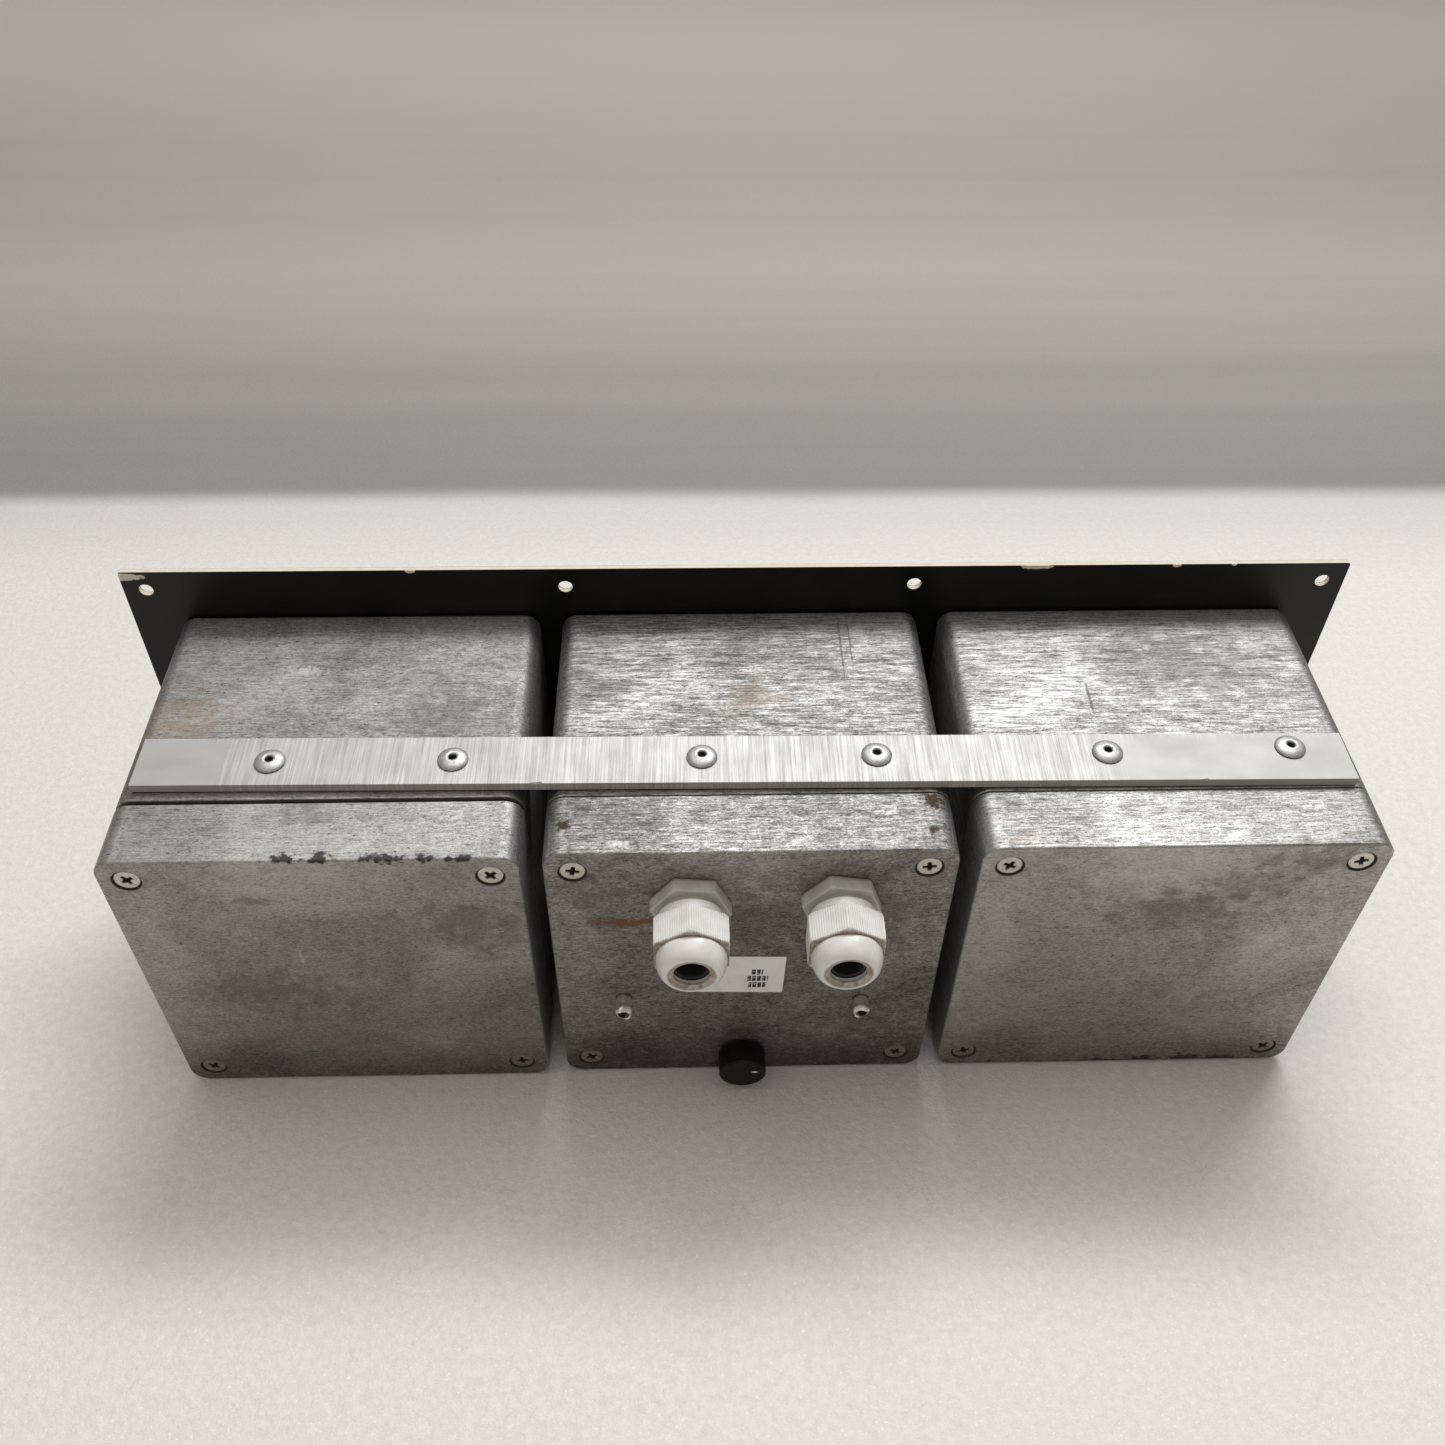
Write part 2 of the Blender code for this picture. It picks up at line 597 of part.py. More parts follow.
def make_bracket():
    """The folded bracket inside the middle lid, its two blind rivets and the board on its shelf."""
    flange_y = LID_Y - LID_FACE_WALL - FIT_GAP
    shelf_top = CENTRE_Z + BRACKET_TOP
    shelf = [
        (flange_y, shelf_top),
        (flange_y - BRACKET_SHELF, shelf_top),
        (flange_y - BRACKET_SHELF, shelf_top - BRACKET_SHEET),
        (flange_y - BRACKET_SHEET, shelf_top - BRACKET_SHEET),
        (flange_y - BRACKET_SHEET, shelf_top - BRACKET_FLANGE),
        (flange_y, shelf_top - BRACKET_FLANGE),
    ]
    bm = bmesh.new()
    section = bm.faces.new([bm.verts.new((-BRACKET_WIDTH / 2, y, z)) for y, z in shelf])
    swept = bmesh.ops.extrude_face_region(bm, geom=[section])["geom"]
    ends = [item for item in swept if isinstance(item, bmesh.types.BMVert)]
    bmesh.ops.translate(bm, verts=ends, vec=Vector((BRACKET_WIDTH, 0, 0)))
    bracket = place("board_bracket", bm, "plated_steel", smooth=False)
    places = [(x, 0, CENTRE_Z + z) for x, z, _ in BRACKET_RIVETS]
    drill(bracket, places, RIVET_RADIUS + FIT_GAP, flange_y - 5 * MM, flange_y + 1 * MM)
    head_y = flange_y - BRACKET_SHEET - FIT_GAP
    grip = LID_Y + FIT_GAP - head_y
    for number, (x, z, length) in enumerate(BRACKET_RIVETS, 1):
        bm = turned(bmesh.new(), blind_rivet(grip, length, 2.6 * MM), sides=FASTENER_SIDES)
        place(f"bracket_rivet_{number}", bm, "rivet_aluminium", (x, head_y, CENTRE_Z + z))
    board_y = flange_y - BRACKET_SHELF / 2 - BOARD_SIZE[1] / 4
    board_z = shelf_top + FIT_GAP + BOARD_SIZE[2] / 2
    block("circuit_board", BOARD_SIZE, (0, board_y, board_z), "circuit_board")


def make_label():
    x, z = LABEL_PLACE
    y = LID_Y + LABEL_GAP + LABEL_SIZE[2] / 2
    width, height, thickness = LABEL_SIZE
    label = block("rear_label", (width, thickness, height), (x, y, z), "label_paper")
    label.rotation_euler.y = LABEL_TURN


def make_link_bush(side, x):
    """The hollow bush through which wiring passes from one box to the next."""
    half = BUSH_LENGTH / 2
    outlines = [
        (circle(BUSH_BORE, HOLE_SIDES), -half),
        (circle(BUSH_BORE, HOLE_SIDES), half),
        (circle(BUSH_RADIUS, HOLE_SIDES), half),
        (circle(BUSH_RADIUS, HOLE_SIDES), -half),
    ]
    bm = stack(bmesh.new(), outlines, True)
    bmesh.ops.rotate(bm, verts=bm.verts, matrix=Matrix.Rotation(math.radians(90), 3, "Z"))
    location = (x, PANEL_BACK_Y + BUSH_DEPTH, BUSH_Z)
    place(f"{side}_link_bush", bm, "plated_steel", location)


def make_jacks(side):
    """Four jack sockets: a threaded nose through box and panel, and a square housing behind."""
    nose_end = -PANEL_THICKNESS - JACK_NOSE_REACH
    shoulder = 2 * FIT_GAP + BASE_WALL
    square = rounded_rectangle(JACK_HOUSING, JACK_HOUSING, 2 * MM)
    sides = len(square)
    bore_end = JACK_DEPTH - 3 * MM
    outlines = [
        (circle(JACK_BORE_RADIUS, sides, -90), bore_end),
        (circle(JACK_BORE_RADIUS, sides, -90), nose_end),
        (circle(JACK_NOSE_RADIUS, sides, -90), nose_end),
        (circle(JACK_NOSE_RADIUS, sides, -90), shoulder),
        (square, shoulder),
        (square, JACK_DEPTH),
    ]
    for number, (x, _, z) in enumerate(jack_places(side), 1):
        bm = stack(bmesh.new(), outlines)
        place(f"{side}_jack_{number}", bm, "jack_nylon", (x, PANEL_BACK_Y, z))


def build():
    clear_scene()
    make_panel()
    for side in BOX_X:
        make_box(side)
        make_gasket(side)
        make_lid_screws(side)
        make_jacks(side)
        lid = make_lid(side)
        if side == "middle":
            fit_middle_lid(lid)
    make_strip()
    make_strip_rivets()
    for side in GLAND_X:
        make_gland(side)
    make_level_control()
    make_bracket()
    make_label()
    make_link_bush("left", -BOX_PITCH / 2)
    make_link_bush("right", BOX_PITCH / 2)


build()
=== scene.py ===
"""Looks of the audio patch bay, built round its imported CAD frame.

The laminate panel stands across X with its front towards -Y, and the three boxes reach back to +Y.
Left and right are as seen from the front. Places come from the frame's own boxes, in metres.
"""

import math

import bmesh
import bpy
from mathutils import Matrix, Vector


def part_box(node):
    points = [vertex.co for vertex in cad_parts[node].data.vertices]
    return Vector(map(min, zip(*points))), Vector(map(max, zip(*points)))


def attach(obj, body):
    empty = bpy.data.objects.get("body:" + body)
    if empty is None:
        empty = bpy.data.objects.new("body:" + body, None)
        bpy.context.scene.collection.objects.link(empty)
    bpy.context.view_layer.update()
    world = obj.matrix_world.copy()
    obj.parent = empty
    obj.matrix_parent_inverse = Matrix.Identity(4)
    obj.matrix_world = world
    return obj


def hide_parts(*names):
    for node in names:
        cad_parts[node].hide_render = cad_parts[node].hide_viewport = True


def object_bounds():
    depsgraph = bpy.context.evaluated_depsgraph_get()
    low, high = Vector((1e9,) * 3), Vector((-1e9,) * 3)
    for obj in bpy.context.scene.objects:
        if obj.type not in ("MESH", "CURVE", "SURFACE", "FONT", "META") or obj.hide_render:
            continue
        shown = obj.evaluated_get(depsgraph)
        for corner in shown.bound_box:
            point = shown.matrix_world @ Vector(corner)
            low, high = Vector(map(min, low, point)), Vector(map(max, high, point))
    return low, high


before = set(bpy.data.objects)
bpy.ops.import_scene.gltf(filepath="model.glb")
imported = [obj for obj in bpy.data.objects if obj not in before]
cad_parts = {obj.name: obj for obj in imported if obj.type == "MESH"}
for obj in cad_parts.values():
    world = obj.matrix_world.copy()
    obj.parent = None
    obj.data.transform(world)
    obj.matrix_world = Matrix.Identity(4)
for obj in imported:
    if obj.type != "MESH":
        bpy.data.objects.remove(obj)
cad_low, cad_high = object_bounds()

MM = 0.001
SIDES = ("left", "middle", "right")
GLANDS = ("left", "right")
CORNER_STEPS = 11
ROUND = 48


# ---------------------------------------------------------------- places in the frame


def centre(node):
    low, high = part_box(node)
    return (low + high) / 2


def seat(node, y):
    """A point on a node's own axis, at the given Y."""
    place = centre(node)
    return Vector((place.x, y, place.z))


PANEL_LOW, PANEL_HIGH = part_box("front_panel")
PANEL_BACK = PANEL_HIGH.y
PANEL_THICKNESS = PANEL_HIGH.y - PANEL_LOW.y
CENTRE_Z = centre("front_panel").z


# ---------------------------------------------------------------- meshes


def circle(radius, sides=ROUND, first=0.0):
    turns = [first + math.tau * step / sides for step in range(sides)]
    return [(radius * math.cos(turn), radius * math.sin(turn)) for turn in turns]


def rounded_rectangle(width, height, radius, steps=CORNER_STEPS, at=(0, 0)):
    """An outline in X and Z, with an arc of the given steps in each corner."""
    points = []
    for corner, (side_x, side_z) in enumerate(((1, -1), (1, 1), (-1, 1), (-1, -1))):
        for step in range(steps + 1):
            turn = math.pi / 2 * (corner - 1 + step / steps)
            x = side_x * (width / 2 - radius) + radius * math.cos(turn)
            z = side_z * (height / 2 - radius) + radius * math.sin(turn)
            points.append((at[0] + x, at[1] + z))
    return points


def hexagon(flats, turn=0.0, corner=1.0 * MM, corner_steps=3, flat_steps=8):
    """A hexagon with its first corner at the given turn, rounded corners and points along its flats."""
    points = []
    reach = flats / 2 / math.cos(math.pi / 6) - corner / math.cos(math.pi / 6)
    for side in range(6):
        here = turn + side * math.pi / 3
        hub = Vector((reach * math.cos(here), reach * math.sin(here)))
        for step in range(corner_steps + 1):
            angle = here + math.pi / 3 * (step / corner_steps - 0.5)
            points.append(hub + corner * Vector((math.cos(angle), math.sin(angle))))
        after = here + math.pi / 3
        next_hub = Vector((reach * math.cos(after), reach * math.sin(after)))
        angle = here + math.pi / 6
        outward = corner * Vector((math.cos(angle), math.sin(angle)))
        for step in range(1, flat_steps):
            points.append(hub.lerp(next_hub, step / flat_steps) + outward)
    return [tuple(point) for point in points]


def same_angles(points, radius):
    """A circle whose points lie at the angles of another outline's points."""
    return [tuple(Vector(point).normalized() * radius) for point in points]


def in_mm(profile):
    """Turns (radius, distance) pairs from millimetres into metres."""
    return [(radius * MM, along * MM) for radius, along in profile]


def inset(points, share):
    return [(x * share, z * share) for x, z in points]


def fillet(radius, steps=4):
    """(inset, rise) pairs round a quarter circle, from a wall to a face."""
    turns = [math.pi / 2 * step / steps for step in range(steps + 1)]
    return [(radius * (1 - math.cos(turn)), radius * math.sin(turn)) for turn in turns]


def skin(outlines, closed=False, bm=None):
    """Skins outlines of equal length, each given as (points in X and Z, Y), into one solid."""
    bm = bm or bmesh.new()
    rings = [[bm.verts.new((x, y, z)) for x, z in points] for points, y in outlines]
    pairs = list(zip(rings, rings[1:]))
    if closed:
        pairs.append((rings[-1], rings[0]))
    else:
        bm.faces.new(rings[0])
        bm.faces.new(rings[-1])
    for near, far in pairs:
        for here in range(len(near)):
            there = (here + 1) % len(near)
            bm.faces.new((near[here], near[there], far[there], far[here]))
    return bm


def lathe(profile, sides=ROUND, closed=False):
    """A solid turned about Y. The profile is (radius, distance along Y) pairs."""
    return skin([(circle(radius, sides), along) for radius, along in profile], closed)


def moved(bm, matrix):
    bmesh.ops.transform(bm, matrix=matrix, verts=bm.verts)
    return bm


def casting(width, height, corner, open_end, shut_end, open_edge, shut_edge, draft=0.0):
    """A box-shaped casting with rounded corners and a fillet at each end."""
    way = math.copysign(1, shut_end - open_end)
    rows = [(cut, open_end + way * (open_edge - rise)) for cut, rise in reversed(fillet(open_edge))]
    rows += [(cut, shut_end - way * (shut_edge - rise)) for cut, rise in fillet(shut_edge)]
    outlines = []
    for cut, y in rows:
        narrowing = cut + draft * (y - open_end) / (shut_end - open_end)
        size = (width - 2 * narrowing, height - 2 * narrowing)
        outlines.append((rounded_rectangle(*size, corner - narrowing), y))
    return skin(outlines)


def loose(name, bm):
    """A mesh object that isn't a piece yet."""
    bmesh.ops.recalc_face_normals(bm, faces=bm.faces)
    mesh = bpy.data.meshes.new(name)
    bm.to_mesh(mesh)
    bm.free()
    made = bpy.data.objects.new(name, mesh)
    bpy.context.scene.collection.objects.link(made)
    return made


def combine(target, bm, operation="DIFFERENCE"):
    """Cuts, joins or intersects the target with a bmesh for good."""
    tool = loose("tool", bm)
    boolean = target.modifiers.new("boolean", "BOOLEAN")
    boolean.operation = operation
    boolean.solver = "EXACT"
    boolean.object = tool
    evaluated = target.evaluated_get(bpy.context.evaluated_depsgraph_get())
    mesh = bpy.data.meshes.new_from_object(evaluated)
    target.modifiers.remove(boolean)
    target.data = mesh
    bpy.data.objects.remove(tool)
    return target


def drill(target, places, radius, start, end, axis="Y", sides=ROUND):
    """Drills round holes through the target at the given places."""
    quarter = math.pi / 2
    turn = {"X": Matrix.Rotation(quarter, 4, "Z"), "Y": Matrix(), "Z": Matrix.Rotation(quarter, 4, "X")}
    bm = bmesh.new()
    for place in places:
        hole = moved(lathe([(radius, start), (radius, end)], sides), Matrix.Translation(place) @ turn[axis])
        mesh = bpy.data.meshes.new("hole")
        hole.to_mesh(mesh)
        hole.free()
        bm.from_mesh(mesh)
        bpy.data.meshes.remove(mesh)
    return combine(target, bm)


def piece(made, finish, nodes=(), body="housing", at=(0, 0, 0), turn=(0, 0, 0), crease=30):
    """Turns a loose mesh object into a piece: shaded, painted, placed, and riding on its body."""
    mesh = made.data
    mesh.materials.clear()
    mesh.materials.append(finish.material)
    mesh.shade_smooth()
    mesh.set_sharp_from_angle(angle=math.radians(crease))
    weighted = made.modifiers.new("flat faces stay flat", "WEIGHTED_NORMAL")
    weighted.keep_sharp = True
    made.location = at
    made.rotation_euler = turn
    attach(made, body)
    if nodes:
        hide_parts(*nodes)
    return made


# ---------------------------------------------------------------- materials


class Finish:
    """One procedural material. Numbers, tuples and sockets can be mixed freely as arguments."""

    def __init__(self, name, slot):
        self.slot = slot
        self.material = bpy.data.materials.new(name)
        self.material.use_nodes = True
        self.tree = self.material.node_tree
        self.shader = self.tree.nodes["Principled BSDF"]
        coordinates = self.tree.nodes.new("ShaderNodeTexCoord")
        self.place = coordinates.outputs["Object"]
        self.facing = coordinates.outputs["Normal"]

    def put(self, socket, value):
        if isinstance(value, bpy.types.NodeSocket):
            self.tree.links.new(value, socket)
        elif socket.type == "RGBA" and len(value) == 3:
            socket.default_value = (*value, 1)
        else:
            socket.default_value = value

    def node(self, kind, inputs, **settings):
        made = self.tree.nodes.new("ShaderNode" + kind)
        for key, value in settings.items():
            setattr(made, key, value)
        for key, value in inputs.items():
            self.put(made.inputs[key], value)
        return made

    def maths(self, operation, *values):
        inputs = dict(enumerate(values))
        return self.node("Math", inputs, operation=operation).outputs[0]

    def add(self, first, *others):
        for other in others:
            first = self.maths("ADD", first, other)
        return first

    def times(self, first, *others):
        for other in others:
            first = self.maths("MULTIPLY", first, other)
        return first

    def minus(self, first, second):
        return self.maths("SUBTRACT", first, second)

    def swing(self, noise, *strengths):
        """Noise about zero, so that it adds to a value without raising it."""
        return self.times(self.minus(noise, 0.5), *strengths)

    def either(self, *masks):
        first, *others = masks
        for other in others:
            first = self.maths("MAXIMUM", first, other)
        return first

    def axes(self, vector):
        return self.node("SeparateXYZ", {0: vector}).outputs

    def stretch(self, scale, turn=(0, 0, 0), shift=(0, 0, 0)):
        inputs = {"Vector": self.place, "Location": shift, "Rotation": turn, "Scale": scale}
        return self.node("Mapping", inputs).outputs[0]

    def noise(self, scale, detail=3.0, roughness=0.5, distortion=0.0, turn=(0, 0, 0), shift=(0, 0, 0)):
        """Noise of a given number of cells per metre, along each axis or all alike."""
        scale = scale if isinstance(scale, tuple) else (scale,) * 3
        inputs = {"Vector": self.stretch(scale, turn, shift), "Scale": 1.0, "Detail": detail}
        inputs.update({"Roughness": roughness, "Distortion": distortion})
        return self.node("TexNoise", inputs).outputs[0]

    def ramp(self, value, low, high, start=0.0, end=1.0):
        """A smooth step from start, at value low, to end, at value high."""
        inputs = {"Value": value, 1: low, 2: high, 3: start, 4: end}
        return self.node("MapRange", inputs, interpolation_type="SMOOTHSTEP").outputs[0]

    def mix(self, factor, first, second):
        inputs = {0: factor, 6: first, 7: second}
        return self.node("Mix", inputs, data_type="RGBA").outputs[2]

    def blend(self, factor, first, second):
        inputs = {0: factor, 2: first, 3: second}
        return self.node("Mix", inputs, data_type="FLOAT").outputs[0]

    def spot(self, at, size, ragged=0.5, grain=400.0, edge=0.45):
        """A ragged stain about a point. Size is its reach along each axis. Both are in millimetres."""
        at, size = [tuple(MM * number for number in numbers) for numbers in (at, size)]
        offset = self.node("VectorMath", {0: self.place, 1: at}, operation="SUBTRACT").outputs[0]
        scaled = self.node("VectorMath", {0: offset, 1: size}, operation="DIVIDE").outputs[0]
        reach = self.node("VectorMath", {0: scaled}, operation="LENGTH").outputs["Value"]
        wobble = self.swing(self.noise(grain, detail=4), 2 * ragged)
        return self.ramp(self.add(reach, wobble), 1 + edge, 1 - edge)

    def bump(self, height, distance):
        return self.node("Bump", {"Height": height, "Distance": distance, "Strength": 1.0}).outputs[0]

    def surface(self, **inputs):
        """Sets the shader's own sockets; underscores stand for spaces."""
        for key, value in inputs.items():
            self.put(self.shader.inputs[key.replace("_", " ")], value)
        return self


# Each kind of mark: colour, roughness, metallic, how much of the metal it hides, how ragged it is,
# the fineness of its outline and how soft its edge is.
MARKS = {
    "rust": ((0.15, 0.062, 0.022), 0.85, 0.0, 0.88, 1.8, 420, 0.65),
    "pit": ((0.050, 0.030, 0.010), 0.85, 0.0, 0.97, 1.7, 620, 0.50),
    "scuff": ((0.012, 0.012, 0.013), 0.60, 0.0, 0.96, 2.2, 520, 0.40),
    "film": ((0.095, 0.088, 0.080), 0.62, 0.8, 0.40, 2.4, 190, 0.85),
    "line": ((0.070, 0.066, 0.060), 0.60, 0.7, 0.60, 1.0, 420, 0.40),
    "tan": ((0.30, 0.21, 0.13), 0.65, 0.5, 0.45, 2.2, 170, 0.80),
    "bright": ((0.62, 0.62, 0.61), 0.45, 1.0, 0.45, 2.4, 700, 0.75),
}


def cast_metal(name, tone, streak, mottling, painted_face_light, marks, on_lid=0.0):
    """Bare die-cast aluminium, linished along X, dulled by handling, with its own marks. Faces across Y are
    painted lighter by a given amount, with painted light towards the top, painted shade towards the bottom,
    and warmer, darker colours as a painted reflection of the floor.
    """
    f = Finish(name, "cast_aluminium")
    facing_x, facing_y, facing_z = [f.maths("ABSOLUTE", axis) for axis in f.axes(f.facing)]
    on_end = f.ramp(facing_x, 0.5, 0.8)
    on_face = f.ramp(facing_y, 0.7, 0.95)
    linished = f.blend(on_end, f.noise((110, 1500, 1500), 5, 0.66), f.noise((1500, 110, 1500), 5, 0.66))
    flakes = f.noise((700, 1500, 1500), 4, 0.75, 0.3)
    grain = f.noise(2600, 3, 0.6)
    mottle = f.noise((230, 330, 330), 6, 0.75, 0.4)
    cloud = f.noise((22, 28, 28), 5, 0.6, 0.6)
    cracks = f.ramp(f.noise((420, 1500, 1500), 3, 0.65, 0.6, (0, 0, 0), (7, 3, 1)), 0.60, 0.66)
    streaking = f.blend(on_face, streak, 0.15 * streak)
    value = f.add(
        tone,
        f.swing(linished, streaking),
        f.swing(flakes, 0.5 + 0.6 * mottling),
        f.swing(grain, 0.6),
        f.swing(mottle, 0.7 * mottling),
        f.swing(cloud, 0.8),
        # Painted light and shade on faces across Y: a lift by the given amount, painted light towards the top
        # and painted shade towards the bottom.
        f.times(on_face, painted_face_light),
        f.times(f.ramp(f.axes(f.place)[2], -30 * MM, -58 * MM), on_face, -0.24),
        f.times(f.ramp(f.axes(f.place)[2], 0, 50 * MM), on_face, 0.08),
        f.times(cracks, -0.30),
    )
    colour = f.mix(value, (0.115, 0.112, 0.106), (0.66, 0.66, 0.65))
    # Painted reflection: faces across Y take warmer, darker colours, as if mirroring the shaded floor in
    # front.
    colour = f.mix(f.times(on_face, 0.75), colour, f.mix(value, (0.090, 0.079, 0.064), (0.58, 0.55, 0.50)))
    polish = f.ramp(f.either(facing_x, facing_y, facing_z), 0.97, 0.86)
    roughness = f.ramp(f.add(value, f.times(polish, 0.3)), 0.1, 1.0, 0.66, 0.44)
    metallic = 1.0
    for kind, at, size in marks:
        shade, rough, metal, hiding, ragged, grain, edge = MARKS[kind]
        covered = f.times(f.spot(at, size, ragged, grain, edge), hiding)
        colour = f.mix(covered, colour, shade)
        roughness = f.blend(covered, roughness, rough)
        metallic = f.blend(covered, metallic, metal)
    # A dark ring round each lid screw on the lids: part dirt, part painted shade of the gap round the head.
    around = [
        f.minus(f.maths("ABSOLUTE", f.axes(f.place)[axis]), SCREW_REACH[axis]) for axis in (0, 2)
    ]
    from_screw = f.maths("SQRT", f.add(*[f.times(offset, offset) for offset in around]))
    ring = f.times(f.ramp(from_screw, SCREW_HOLE + SCREW_DIRT_AND_SHADE, SCREW_HOLE), on_lid)
    colour = f.mix(ring, colour, (0.035, 0.028, 0.022))
    roughness = f.blend(ring, roughness, 0.8)
    metallic = f.blend(ring, metallic, 0.2)
    relief = f.add(f.times(linished, 0.6), f.times(flakes, 0.4), f.times(mottle, 0.4), f.times(cracks, -0.3))
    return f.surface(
        Base_Color=colour, Roughness=roughness, Metallic=metallic, Normal=f.bump(relief, 0.05 * MM)
    )


# The four lid screws' distance from the middle of a lid, across, in depth and up.
SCREW_REACH = (53.0 * MM, 0, 51.8 * MM)
# Width of the dark ring round each lid screw, part dirt and part painted shade.
SCREW_DIRT_AND_SHADE = 0.35 * MM


def brushed_bar():
    """Aluminium flat bar, scratched crosswise except at its ends."""
    f = Finish("brushed_bar", "brushed_strip")
    x, y, _ = f.axes(f.place)
    # Painted shade: the front face is painted darker, warmer and less metallic than the rest of the bar.
    painted_front_shade = f.ramp(f.axes(f.facing)[1], 0.6, 0.9)
    brushed = f.times(f.ramp(x, 160.6 * MM, 159.6 * MM), f.ramp(x, -122 * MM, -100 * MM))
    rear_scuffs = f.times(f.ramp(f.add(y, f.times(f.noise((500, 60, 60)), 6 * MM)), -4 * MM, -8 * MM), 0.8)
    brushed = f.either(brushed, rear_scuffs)
    brush = f.noise((1500, 34, 60), 4, 0.7, 0.0, (0, 0, math.radians(3)))
    coarse = f.noise((330, 16, 30), 3, 0.6)
    worn = f.noise((60, 90, 90), 5, 0.6)
    nicks = f.ramp(f.noise((420, 300, 300), 4, 0.7, 1.0), 0.70, 0.76)
    value = f.add(
        0.60,
        f.swing(brush, brushed, 1.15),
        f.swing(coarse, brushed, 0.35),
        f.swing(worn, 0.35),
        f.times(brushed, 0.06),
        f.times(nicks, -0.35),
        f.times(painted_front_shade, -0.08),
    )
    colour = f.mix(value, (0.24, 0.24, 0.237), (0.62, 0.62, 0.615))
    colour = f.mix(f.times(painted_front_shade, 0.8), colour, f.mix(value, (0.22, 0.20, 0.18), (0.72, 0.68, 0.64)))
    relief = f.add(f.times(brush, brushed), f.times(nicks, -0.4), f.times(worn, 0.3))
    return f.surface(
        Base_Color=colour,
        Roughness=f.ramp(value, 0.2, 1.0, 0.70, 0.58),
        Metallic=f.minus(1.0, f.times(painted_front_shade, 0.6)),
        Normal=f.bump(relief, 0.05 * MM),
    )


def bright_metal(name, slot, dark, light, rough, grime=0.5, mouth=None, depth=None):
    """Small turned or pressed metal hardware with handling marks.

    Dark like grime, painted shade also fills a mouth of the given radius, or all below a given depth.
    """
    f = Finish(name, slot)
    haze = f.noise(700, 4, 0.6)
    scratches = f.noise((400, 3500, 900), 3, 0.7)
    dirt_and_shade = f.times(f.ramp(f.noise(380, 5, 0.7, 0.8), 0.55, 0.72), grime)
    # Painted shade: the mouth, or all below the given depth, is darkened in the grime colour.
    if mouth:
        dirt_and_shade = f.either(dirt_and_shade, f.ramp(from_axis(f), mouth, 0.88 * mouth))
    if depth:
        dirt_and_shade = f.either(dirt_and_shade, f.ramp(f.axes(f.place)[1], -0.5 * depth, -depth))
    value = f.add(0.55, f.swing(haze, 1.2), f.swing(scratches, 0.5))
    colour = f.mix(dirt_and_shade, f.mix(value, dark, light), (0.035, 0.029, 0.024))
    return f.surface(
        Base_Color=colour,
        Roughness=f.add(rough, f.times(haze, 0.12), f.times(dirt_and_shade, 0.4)),
        Metallic=f.minus(1.0, f.times(dirt_and_shade, 0.8)),
        Normal=f.bump(f.add(haze, scratches), 0.02 * MM),
    )


def laminate():
    """Black engraving laminate: a cream core shows at the edges, in the holes and where a skin is chipped."""
    f = Finish("engraving_laminate", "panel_laminate")
    x, y, z = f.axes(f.place)
    skin_depth = 0.28 * MM
    inside_front = f.ramp(y, -PANEL_THICKNESS + 0.6 * skin_depth, -PANEL_THICKNESS + skin_depth)
    inside_back = f.ramp(y, -0.6 * skin_depth, -skin_depth)
    core = f.times(inside_front, inside_back)
    half_x, half_z = (PANEL_HIGH.x - PANEL_LOW.x) / 2, (PANEL_HIGH.z - PANEL_LOW.z) / 2
    from_side = f.minus(half_x, f.maths("ABSOLUTE", x))
    from_end = f.minus(half_z, f.maths("ABSOLUTE", z))
    from_edge = f.maths("MINIMUM", from_side, from_end)
    ragged = f.ramp(f.noise(230, 5, 0.75), 0.62, 0.80, 0.0, 1.6 * MM)
    chipped = f.ramp(f.minus(ragged, from_edge), 0.0, 0.12 * MM)
    for at, size in LAMINATE_CHIPS:
        chipped = f.either(chipped, f.spot(at, size, ragged=0.6, grain=500, edge=0.12))
    core = f.either(core, chipped)
    dust = f.times(f.ramp(f.noise(60, 6, 0.7), 0.45, 0.80), 0.5)
    scratches = f.ramp(f.noise((30, 60, 1400), 3, 0.7, 0.3, (0, math.radians(12), 0)), 0.66, 0.74)
    black = f.mix(dust, (0.0035, 0.0035, 0.0036), (0.014, 0.0135, 0.013))
    black = f.mix(f.times(scratches, 0.35), black, (0.06, 0.06, 0.06))
    cream = f.mix(f.noise(300, 4), (0.62, 0.55, 0.42), (0.82, 0.77, 0.66))
    relief = f.add(f.times(f.noise(1600, 3), 0.3), f.times(chipped, -2.0), f.times(scratches, -0.4))
    return f.surface(
        Base_Color=f.mix(core, black, cream),
        Roughness=f.blend(core, f.add(0.40, f.times(dust, 0.3)), 0.75),
        Specular_IOR_Level=0.28,
        Normal=f.bump(relief, 0.03 * MM),
    )


# Chips in the laminate's edge: place and size in millimetres.
LAMINATE_CHIPS = (
    ((205.2, 0, 76.6), (5.5, 1, 1.5)),
    ((110.7, 0, 78.3), (1.6, 1, 1.0)),
    ((-100.5, 0, 78.2), (5.2, 1, 1.2)),
    ((-148.1, 0, 78.3), (1.5, 1, 0.9)),
    ((-167.6, 0, 78.4), (0.9, 1, 0.6)),
    ((-60.0, -PANEL_THICKNESS / MM, -78.2), (2.2, 1, 1.0)),
    ((171.0, -PANEL_THICKNESS / MM, -78.3), (3.1, 1, 0.9)),
)


